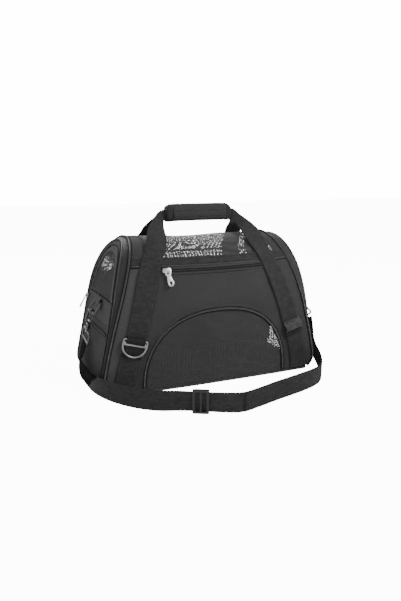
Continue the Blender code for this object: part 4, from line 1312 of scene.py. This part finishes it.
def slider(name, place, body, size=1.0):
    """A slider: two shield-shaped plates, the post between them and the bridge over the pull."""
    side = [(-0.0050, 0.0026), (0.0, 0.0033), (0.0034, 0.0040), (0.0054, 0.0024)]
    shield = [(-0.0055, 0.0)] + side + [(0.0056, 0.0)] + [(x, -y) for x, y in side[::-1]]
    shield = smooth_loop(shield, 3) * size
    arch = [(-0.0040, 0.0038), (-0.0036, 0.0056), (-0.0018, 0.0069), (0.0014, 0.0069), (0.0032, 0.0056),
            (0.0036, 0.0038)]
    eye = circle(0.00105, 10) + (-0.0003, 0.0053)
    side_view = Place(place.at, place.across, place.out)
    parts = [
        pressed(place, [shield], 0.0030, 0.0042, 0.0004),
        pressed(place, [shield * 0.94], 0.0013, 0.0021, 0.0003),
        pressed(place, [rounded(0.0012, 0.0020, 0.0008, 3)], 0.0018, 0.0034, 0.0002),
        pressed(side_view, [smooth(arch, 3), eye], -0.0011, 0.0011, 0.0003),
    ]
    pieced(f"{name}_metal", parts, STEEL, body=body, replaces=[name])


def pull(name, place, length, half):
    """A pressed pull: a forked root on a pin, a narrow waist and a round end with a drop-shaped hole."""
    slot, thick = 0.0027, 0.0007
    root = half * 0.75 + 0.0012
    waist = half * 0.62
    fork = -0.24 * length
    right = [(slot, fork), (slot, 0.0004), (slot + 0.0006, 0.0009), (root, 0.0004), (root, fork - 0.0006),
             (waist + 0.0008, fork - 0.0022), (waist, fork - 0.0036), (half * 0.86, -length * 0.58),
             (half, -length * 0.70), (half, -length + half * 0.95)]
    right += [(half * math.cos(t), -length + half + half * math.sin(t)) for t in np.linspace(-0.3, -1.45, 6)]
    outline = right + [(-x, y) for x, y in right[::-1]]
    hole = [(0.48 * half * math.cos(t), half * (1.25 + 0.62 * math.sin(t) + 0.16 * math.cos(2 * t)) - length)
            for t in np.linspace(0, 2 * math.pi, 20, endpoint=False)]
    plate = pressed(place, [outline, hole], PULL_HINGE - thick, PULL_HINGE + thick, 0.0003)
    pin_path = [place.point(a, 0, PULL_HINGE) for a in (-slot - 0.0006, 0, slot + 0.0006)]
    pin = sweep(pin_path, place.up, circle(0.00075, 10))
    drop = [(0.0024, 0.0), (0.0026, -0.004), (0, -0.0062), (-0.0026, -0.004), (-0.0024, 0.0), (0, 0.0012)]
    rim_path = [place.point(x * 0.55, y - length * 0.42, PULL_HINGE + thick)
                for x, y in smooth_loop(drop, 3)]
    rim = sweep(rim_path, place.out, circle(0.00028, 6), closed=True)
    pieced(f"{name}_metal", [plate, pin, rim], STEEL, body=name, replaces=[name])


def zip_tape(name, path, facing, width, node):
    """A zip's tape and its teeth, along a path on the cloth."""
    path = path + facing * 0.0006
    swept(f"{name}_zip_tape", path, facing, strap_section(width, 0.0008), TAPE, round_ends=True,
          replaces=[node])
    pieced(f"{name}_zip_teeth", teeth_along(path + facing * 0.0005, facing), TEETH)


def build_front_zip(panel):
    x = np.linspace(-FRONT_ZIP_HALF, FRONT_ZIP_HALF, 90)
    z = np.full(90, FRONT_ZIP_Z)
    path, facing = on_wall(-1, x, z)
    zip_tape("front", path, facing, 0.0100, "front_zip")
    lips = []
    for step, tilt in ((0.0047, 0.5), (-0.0052, -0.4)):
        lip = wall(-1, x, z + step) + facing * 0.0009
        lean = unit(facing + np.array([0, 0, tilt]))
        lips.append(sweep(lip, lean, strap_section(0.0044, 0.0013), round_ends=True))
    pieced("front_zip_lips", lips, SATIN)
    rows = [(wall(-1, x, z + step), facing) for step in (0.0078, -0.0085)]
    stitch_rows("front_zip_stitches", rows, [panel])
    place = wall_place(-1, FRONT_SLIDER_X, FRONT_ZIP_Z)
    slider("front_slider", place, "front_slider", 1.4)
    pull("front_pull", place.turned(FRONT_PULL_TILT), 0.031, 0.0054)


def build_end_zips():
    y = float(end_half_depth(DOOR_SLIDER_Z, END_INSET + 0.0074, END_DROP))
    for name, side in SIDES.items():
        place = end_place(side, y, DOOR_SLIDER_Z)
        slider(f"{name}_door_slider", place.turned(-90 * side), f"{name}_door_slider")
        pull(f"{name}_door_pull", place.swung(DOOR_PULL_SWING[name], PULL_HINGE), *DOOR_PULL_SIZE[name])
    x = -float(end_x(-1, POCKET_ZIP_Z))
    path = np.array([(x, y, POCKET_ZIP_Z) for y in np.linspace(-POCKET_ZIP_HALF, POCKET_ZIP_HALF, 60)])
    zip_tape("pocket", path, end_place(-1, 0, POCKET_ZIP_Z).out, 0.0090, "left_pocket_zip")
    place = end_place(-1, POCKET_SLIDER_Y, POCKET_ZIP_Z)
    slider("left_pocket_slider", place, "left_pocket_slider")
    pull("left_pocket_pull", place, 0.022, 0.0035)


# Handles and grip.


def handle_route(face):
    """The middle line of a handle and its outward directions, leg to grip to leg."""
    legs = []
    height = WEBBING_OUT + WEBBING_THICK / 2
    for side in (-1, 1):
        leg = []
        for x, z in HANDLE_LEG:
            place = wall_place(face, side * x + handle_drift(face, side, z), z, height)
            leg.append((place.at, place.out))
        for x, y, z, upward in HANDLE_RISE:
            at = np.array([side * x + handle_drift(face, side, z), face * y, z])
            leg.append((at, unit((0, face, upward))))
        legs.append(leg)
    return [smooth(line, 7) for line in zip(*legs[0], *legs[1][::-1])]


def build_handle(name, face):
    points, facing = handle_route(face)
    pinch = np.clip((points[:, 2] - FOLD_LOW) / (FOLD_HIGH - FOLD_LOW), 0, 1)
    scale = np.column_stack([1 + (GRIP_WEBBING / WEBBING_WIDTH - 1) * pinch, np.ones(len(points))])
    swept(f"{name}_handle_webbing", points, facing, strap_section(WEBBING_WIDTH, WEBBING_THICK, columns=41),
          WEBBING, scale=scale, round_ends=True, replaces=[f"{name}_handle"])
    across = unit(np.cross(tangents(points), facing))
    out = np.cross(across, tangents(points))
    rows = []
    for side in (-1, 1):
        leg = (points[:, 2] < LEG_TOP) & (points[:, 0] * side > 0)
        top = points[leg] + out[leg] * WEBBING_THICK / 2
        rows += [(top + across[leg] * edge * STITCH_REACH, out[leg]) for edge in (-1, 1)]
        rows += cross_stitch(points[leg, 2], top, across[leg], out[leg])
    stitch_rows(f"{name}_handle_stitches", rows, pitch=0.0036)


def cross_stitch(height, points, across, out):
    """A box with a cross in it, sewn through a leg just under the place where it leaves the wall."""
    order = np.argsort(height)

    def spot(z, side):
        at, over = [resampled(values[order], height[order], [z])[0] for values in (points, across)]
        return at + over * side * STITCH_REACH

    low, middle, high = 0.222, 0.236, 0.250
    face = out[np.argmin(np.abs(height - middle))]
    rows = []
    for z in (low, high):
        rows.append((evenly([spot(z, -1), spot(z, 1)], count=6), face))
    for side in (-1, 1):
        centre = (spot(middle, side) + spot(middle, -side)) / 2
        rows.append((smooth([spot(low, side), centre, spot(high, -side)], 6), face))
    return rows


def grip_shape(points):
    """Lowers the top and narrows the sides of grip pieces towards the grip's ends."""
    short = GRIP_HALF - np.abs(points[:, 0] - GRIP_SHIFT)
    drop = np.interp(short, GRIP_END_SHORT, GRIP_END_DROP)
    above = np.maximum(points[:, 2] - GRIP_Z, 0) / (GRIP_TALL / 2)
    y = points[:, 1] * (1 - GRIP_END_NARROW * drop)
    return np.column_stack([points[:, 0], y, points[:, 2] - drop * above])


def build_grip():
    """The padded wrap round both handles, and its bound ends."""
    turn = np.linspace(0, 2 * math.pi, 48, endpoint=False)
    ring = np.column_stack([np.cos(turn), np.sin(turn)])
    profile = np.copysign(np.abs(ring) ** GRIP_POWER, ring) * (GRIP_DEEP / 2, GRIP_TALL / 2)

    def wrapped(name, share, scale, finish, **options):
        share = np.asarray(share)
        path = np.column_stack([GRIP_SHIFT + share * GRIP_HALF, 0 * share, 0 * share + GRIP_Z])
        points, faces, spread = sweep(path, UPWARD, profile, scale)
        make_piece(name, grip_shape(points), faces, finish, weave=spread, **options)

    edge = [0.955, 0.98, 0.995, 1]
    share = np.concatenate([-np.array(edge[::-1]), np.linspace(-0.93, 0.93, 60), edge])
    from_end = np.maximum(np.abs(share) * GRIP_HALF - (GRIP_HALF - 0.005), 0)
    round_off = np.sqrt(np.maximum(1 - from_end**2 / 0.0052**2, 0.35))
    crumple = 1 + 0.012 * np.array([noise.noise(Vector((s * 6, 0.3, 2.0))) for s in share])
    wrapped("grip_wrap_cloth", share, round_off * crumple, PADDED_WEBBING, replaces=["grip_wrap"])
    band = np.array([0.835, 0.84, 0.87, 0.94, 0.978, 0.984])
    for name, side in SIDES.items():
        wrapped(f"grip_{name}_binding", band * side, [0.99, 1.035, 1.05, 1.05, 1.03, 0.96], WEBBING)


def build_flap():
    """The quilted flap over the grip's front, with its two sewn channels."""
    place = Place((GRIP_SHIFT, -GRIP_DEEP / 2, GRIP_Z + GRIP_TALL / 2 - 0.004), (1, 0, 0), UPWARD)
    sketch = smooth([(0.0, 0.0004), (-0.013, 0.0016), (-0.0235, 0.0012), (-0.0285, -0.0018)], 10)
    half = GRIP_HALF - 0.0125
    columns = np.linspace(-1, 1, 70)
    ease = np.clip((1 - np.abs(columns)) / 0.06, 0, 1) ** 0.5
    rows = []
    for share, (u, o) in zip(np.linspace(0, 1, len(sketch)), sketch):
        channels = sum(np.exp(-((share - channel) / 0.035) ** 2) for channel in FLAP_CHANNELS)
        crown = 0.0016 * math.sin(math.pi * min(max(share, 0.02), 0.98)) ** 0.5
        ripple = np.array([noise.noise(Vector((c * 7, share * 5, 4.4))) for c in columns])
        height = o + crown * ease * (1 - 0.75 * channels) + 0.0003 * ripple - 0.0016 * (1 - ease)
        reach = half * (1 - 0.03 * (2 * share - 1) ** 8)
        rows.append([place.point(c * reach, u, h) for c, h in zip(columns, height)])
    top = np.array(rows)
    spread = np.stack([lengths(top, 0), lengths(top, 1), np.zeros(top.shape[:2])], -1)
    cover = make_piece("grip_flap_quilt", [top, top - place.out * 0.0016], sheet_faces(*top.shape[:2]),
                       PADDED_WEBBING, body="grip_flap", weave=[spread] * 2, replaces=["grip_flap"])
    lines = [top[int(channel * (len(rows) - 1)), 3:-3] for channel in FLAP_CHANNELS]
    stitch_rows("grip_flap_stitches", [(line, place.out) for line in lines], body="grip_flap", pitch=0.0036)


# The D-ring, the keeper and what carries the shoulder strap.


def across_rows(place, half, heights, out):
    """Short stitch rows across a strap."""
    spots = np.linspace(-half, half, 8)
    return [(np.array([place.point(a, u, out) for a in spots]), place.out) for u in heights]


def build_ring():
    """The D-ring with its flat cross bar, in the folded webbing tab on the front left leg."""
    place = wall_place(-1, -RING_TAB_X, RING_TAB_Z, WEBBING_OUT + WEBBING_THICK).turned(-15)
    place = Place(place.at, place.across, UPWARD)
    fold = [(-0.0340, 0.0014), (-0.0200, 0.0018), (-0.0060, 0.0019), (-0.0022, 0.0019), (0.0016, 0.0024),
            (0.0036, 0.0046), (0.0028, 0.0069), (0.0004, 0.0079), (-0.0030, 0.0078), (-0.0100, 0.0040),
            (-0.0150, 0.0034), (-0.0280, 0.0033)]
    tab = bent(place, fold, 0.0178, 0.0013, 5)
    pieced("front_ring_tab_webbing", [tab], TAPE, replaces=["front_ring_tab"])
    stitch_rows("ring_tab_stitches", across_rows(place, 0.014, (-0.0300, -0.0200), 0.0042))
    out = 0.0047
    drop = D_TALL - D_HALF
    wide = D_HALF + 0.0006
    loop = [(a, 0.0) for a in (0.002 - D_HALF, -0.010, 0.0, 0.010, D_HALF - 0.002)]
    loop += [(D_HALF + 0.0003, -0.0018), (wide, -drop * 0.5)]
    loop += [(wide * math.cos(turn), D_HALF * math.sin(turn) - drop) for turn in np.linspace(0, -math.pi, 13)]
    loop += [(-wide, -drop * 0.5), (-D_HALF - 0.0003, -0.0018)]
    wire = [place.point(a, u, out) for a, u in smooth_loop(loop, 5)]
    ring = sweep(wire, place.out, circle(D_WIRE * 1.25, 14), closed=True)
    pieced("front_d_ring_metal", [ring], PLAIN_STEEL, body="front_d_ring", replaces=["front_d_ring"])
    bar_place = place.moved(0, -0.0080, 0)
    bar = pressed(bar_place, [rounded(D_HALF, 0.0034, 0.0014, 4)], out - 0.0009, out + 0.0009, 0.0004)
    pieced("front_d_ring_bar_metal", [bar], PLAIN_STEEL, body="front_d_ring")


def build_keeper():
    """The rolled webbing keeper on the front right leg: a roll in lighter webbing, a painted highlight, in
    front of a back in near-black tape, painted shade.
    """
    place = wall_place(-1, 0.1660, 0.0975, WEBBING_OUT + WEBBING_THICK).turned(15)
    roll = [(-0.0030, 0.0011), (-0.0052, 0.0034), (-0.0040, 0.0066), (0.0, 0.0080), (0.0060, 0.0072),
            (0.0095, 0.0040), (0.0115, 0.0011), (0.0150, 0.0011)]
    pieced("front_keeper_webbing", [bent(place, roll, 0.0200, 0.0014)], PAINTED_LIGHT_WEBBING,
           replaces=["front_keeper"])
    # The keeper's back in near-black tape: painted shade under the roll.
    back = [(-0.0175, 0.0011), (-0.0135, 0.0011), (-0.0110, 0.0030), (-0.0090, 0.0030), (-0.0070, 0.0011),
            (-0.0040, 0.0011)]
    pieced("front_keeper_back", [bent(place, back, 0.0200, 0.0012, 5)], TAPE)
    stitch_rows("keeper_stitches", across_rows(place, 0.017, (-0.0158, 0.0132), 0.0019))


def wire_frame(place, half_x, half_y, shift, radius, wire):
    """A rectangular ring of round wire, its middle moved along the place's up axis."""
    loop = evenly_closed([place.point(a, u + shift, 0) for a, u in rounded(half_x, half_y, radius, 5)], 96)
    return sweep(loop, place.out, circle(wire, 14), closed=True)


def build_end_hardware(name, side):
    """An end's webbing loop, rectangular ring, snap hook with its gate, and the eye for the strap."""
    place = end_place(side, 0, RING_Z)
    hump = [(0.0095, 0.0009), (0.0076, 0.0012), (0.0052, 0.0040), (0.0, 0.0058), (-0.0052, 0.0040),
            (-0.0078, 0.0012), (-0.0150, 0.0009)]
    pieced(f"{name}_ring_loop_webbing", [bent(place, hump, 0.0190, 0.0012)], WEBBING,
           replaces=[f"{name}_ring_loop"])
    tilt = math.radians(RING_TILT[name])
    hang = math.cos(tilt) * place.up - math.sin(tilt) * place.out
    plane = Place(place.point(0, 0, 0.0027), place.across, hang)
    ring = wire_frame(plane, RING_HALF, RING_DROP / 2, -RING_DROP / 2, 0.004, RING_WIRE)
    pieced(f"{name}_end_ring_metal", [ring], DARK_STEEL, replaces=[f"{name}_end_ring"])

    start = plane.point(0, -RING_DROP, 0)
    end = np.array(STRAP_ENDS[name])
    down = unit(end - start)
    out = unit(np.array([side, 0, 0]) - down * side * down[0])
    hook = Place(start, np.cross(-down, out), -down)

    def turned_rod(spots, radius, sides, scale):
        return sweep([hook.point(0, u, o) for u, o in spots], hook.across, circle(radius, sides), scale)

    bow = smooth([(-0.0290, 0.0), (-0.0240, 0.0), (-0.0200, 0.0042), (-0.0150, 0.0062), (-0.0060, 0.0062),
                  (0.0016, 0.0050), (0.0048, 0.0), (0.0026, -0.0046), (-0.0030, -0.0062)], 6)
    swell = np.interp(np.linspace(0, 1, len(bow)), [0, 0.15, 0.6, 0.93, 1], [1.1, 1.0, 1.0, 0.95, 0.55])
    collar = [(-0.0258, 2.6), (-0.0262, 3.4), (-0.0275, 3.9), (-0.0292, 3.9), (-0.0298, 3.3), (-0.0312, 3.2),
              (-0.0318, 4.1), (-0.0345, 4.2), (-0.0352, 3.5), (-0.0362, 3.4), (-0.0368, 2.4), (-0.0382, 2.2)]
    parts = [turned_rod(bow, 0.0021, 14, swell),
             turned_rod([(u, 0) for u, _ in collar], 0.001, 20, [width for _, width in collar])]
    pieced(f"{name}_snap_hook_metal", parts, DARK_STEEL, sharp=50, replaces=[f"{name}_snap_hook"])
    gate = [(-0.0215, -0.0048), (-0.0170, -0.0055), (-0.0140, -0.0058), (-0.0100, -0.0061),
            (-0.0060, -0.0062)]
    thumb = [(-0.0168, -0.0062), (-0.0162, -0.0078), (-0.0158, -0.0084)]
    parts = [turned_rod(gate, 0.0013, 12, [1, 1.05, 1, 0.95, 0.7]),
             turned_rod(thumb, 0.0011, 10, [1, 0.9, 0.5])]
    pieced(f"{name}_hook_gate_metal", parts, DARK_STEEL, body=f"{name}_hook_gate",
           replaces=[f"{name}_hook_gate"])
    low, high = 0.0050 - np.linalg.norm(end - start), -0.0407
    eye = wire_frame(hook, 0.0215, (high - low) / 2, (high + low) / 2, 0.0035, 0.0020)
    pieced(f"{name}_hook_eye_metal", [eye], DARK_STEEL, replaces=[f"{name}_hook_eye"])


# Shoulder strap.


def strap_painted_shade(points, spread):
    """Weave coordinates of strap points, carrying painted shade where the strap lies along the bag's ends,
    and lighter painted shade over its doubled stretch.
    """
    x, y, z = points.T
    left = (x < 0) & (y > CREASE_Y - (z - CREASE_Z) * CREASE_SLOPE)
    right = np.clip((x - STRAP_SHADE_X) / 0.05, 0, 1)
    doubled = 0.5 * (x > LAYER_START_X) * (1 - right)
    shade = np.where(left, -1.5, 0.0) - 1.4 * right - doubled
    return np.column_stack([spread[:, :2], shade])


def strap_piece(name, path, facing, width, thick, columns, **options):
    section = strap_section(width, thick, columns)
    points, faces, spread = sweep(path, facing, section, round_ends=True)
    # The weave's third column carries the strap's painted shade.
    return make_piece(name, points, faces, WEBBING, weave=strap_painted_shade(points, spread), **options)


def build_strap():
    """The strap on its edge round the front of the bag, its adjuster and its sewn-on second layer."""
    path = smooth(STRAP_ROUTE, 8)
    by_end = np.exp(-((path[:, 1] - STRAP_LIFT_Y) / 0.035) ** 2) * (path[:, 0] < 0)
    path[:, 2] += STRAP_LIFT * by_end * np.clip((0.045 - path[:, 2]) / 0.015, 0, 1)
    lean = np.array([noise.noise(Vector(point) * 14) for point in path])
    facing = unit(unit(path * (0.9, 1.3, 0.0)) + np.array(UPWARD) * lean[:, None] * 0.10)
    strap = strap_piece("shoulder_strap_webbing", path, facing, STRAP_WIDTH, STRAP_THICK, 41,
                        replaces=["shoulder_strap"])
    place = Place(ADJUSTER, np.array(STRAP_ROUTE[12]) - np.array(STRAP_ROUTE[10]), UPWARD)
    outlines = [rounded(0.0145, 0.0214, 0.004, 5), rounded(0.0098, 0.0172, 0.002, 4)]
    parts = [pressed(place, outlines, low, low + 0.0018, 0.0006) for low in (0.0022, -0.0040)]
    for end in (-1, 1):
        rail = [rounded(0.0143, 0.0011, 0.0008, 3)]
        parts.append(pressed(place.moved(0, end * 0.0202, 0), rail, -0.0030, 0.0030, 0.0004))
    parts.append(pressed(place, [rounded(0.0019, 0.0190, 0.0015, 4)], 0.0019, 0.0034, 0.0006))
    adjuster = pieced("strap_adjuster_frame", parts, MOULDING, body="strap_adjuster", sharp=40,
                      replaces=["strap_adjuster"])
    far = np.flatnonzero(path[:, 0] > LAYER_START_X)[1:]
    out = facing[far]
    upper = path[far] + out * (STRAP_THICK / 2 + 0.0006)
    layer = strap_piece("shoulder_strap_layer", upper, out, STRAP_WIDTH * 0.97, 0.0014, 25)
    across = unit(np.cross(tangents(upper), out)) * (STRAP_WIDTH / 2 - 0.0034)
    rows = [((upper + across * edge + out * 0.0007)[1:-1], out[1:-1]) for edge in (-1, 1)]
    stitches = stitch_rows("shoulder_strap_stitches", rows, pitch=0.0040)
    length = float(lengths(path)[-1])


set_camera()
set_lights()
set_floor()
build_strap()
front_cloth = build_front()
build_rear()
build_top()
build_base()
build_mat()
for end_name, end_side in SIDES.items():
    build_end(end_name, end_side)
    build_end_hardware(end_name, end_side)
build_front_zip(front_cloth)
build_end_zips()
for face_name, face_sign in FACES.items():
    build_handle(face_name, face_sign)
build_grip()
build_flap()
build_ring()
build_keeper()
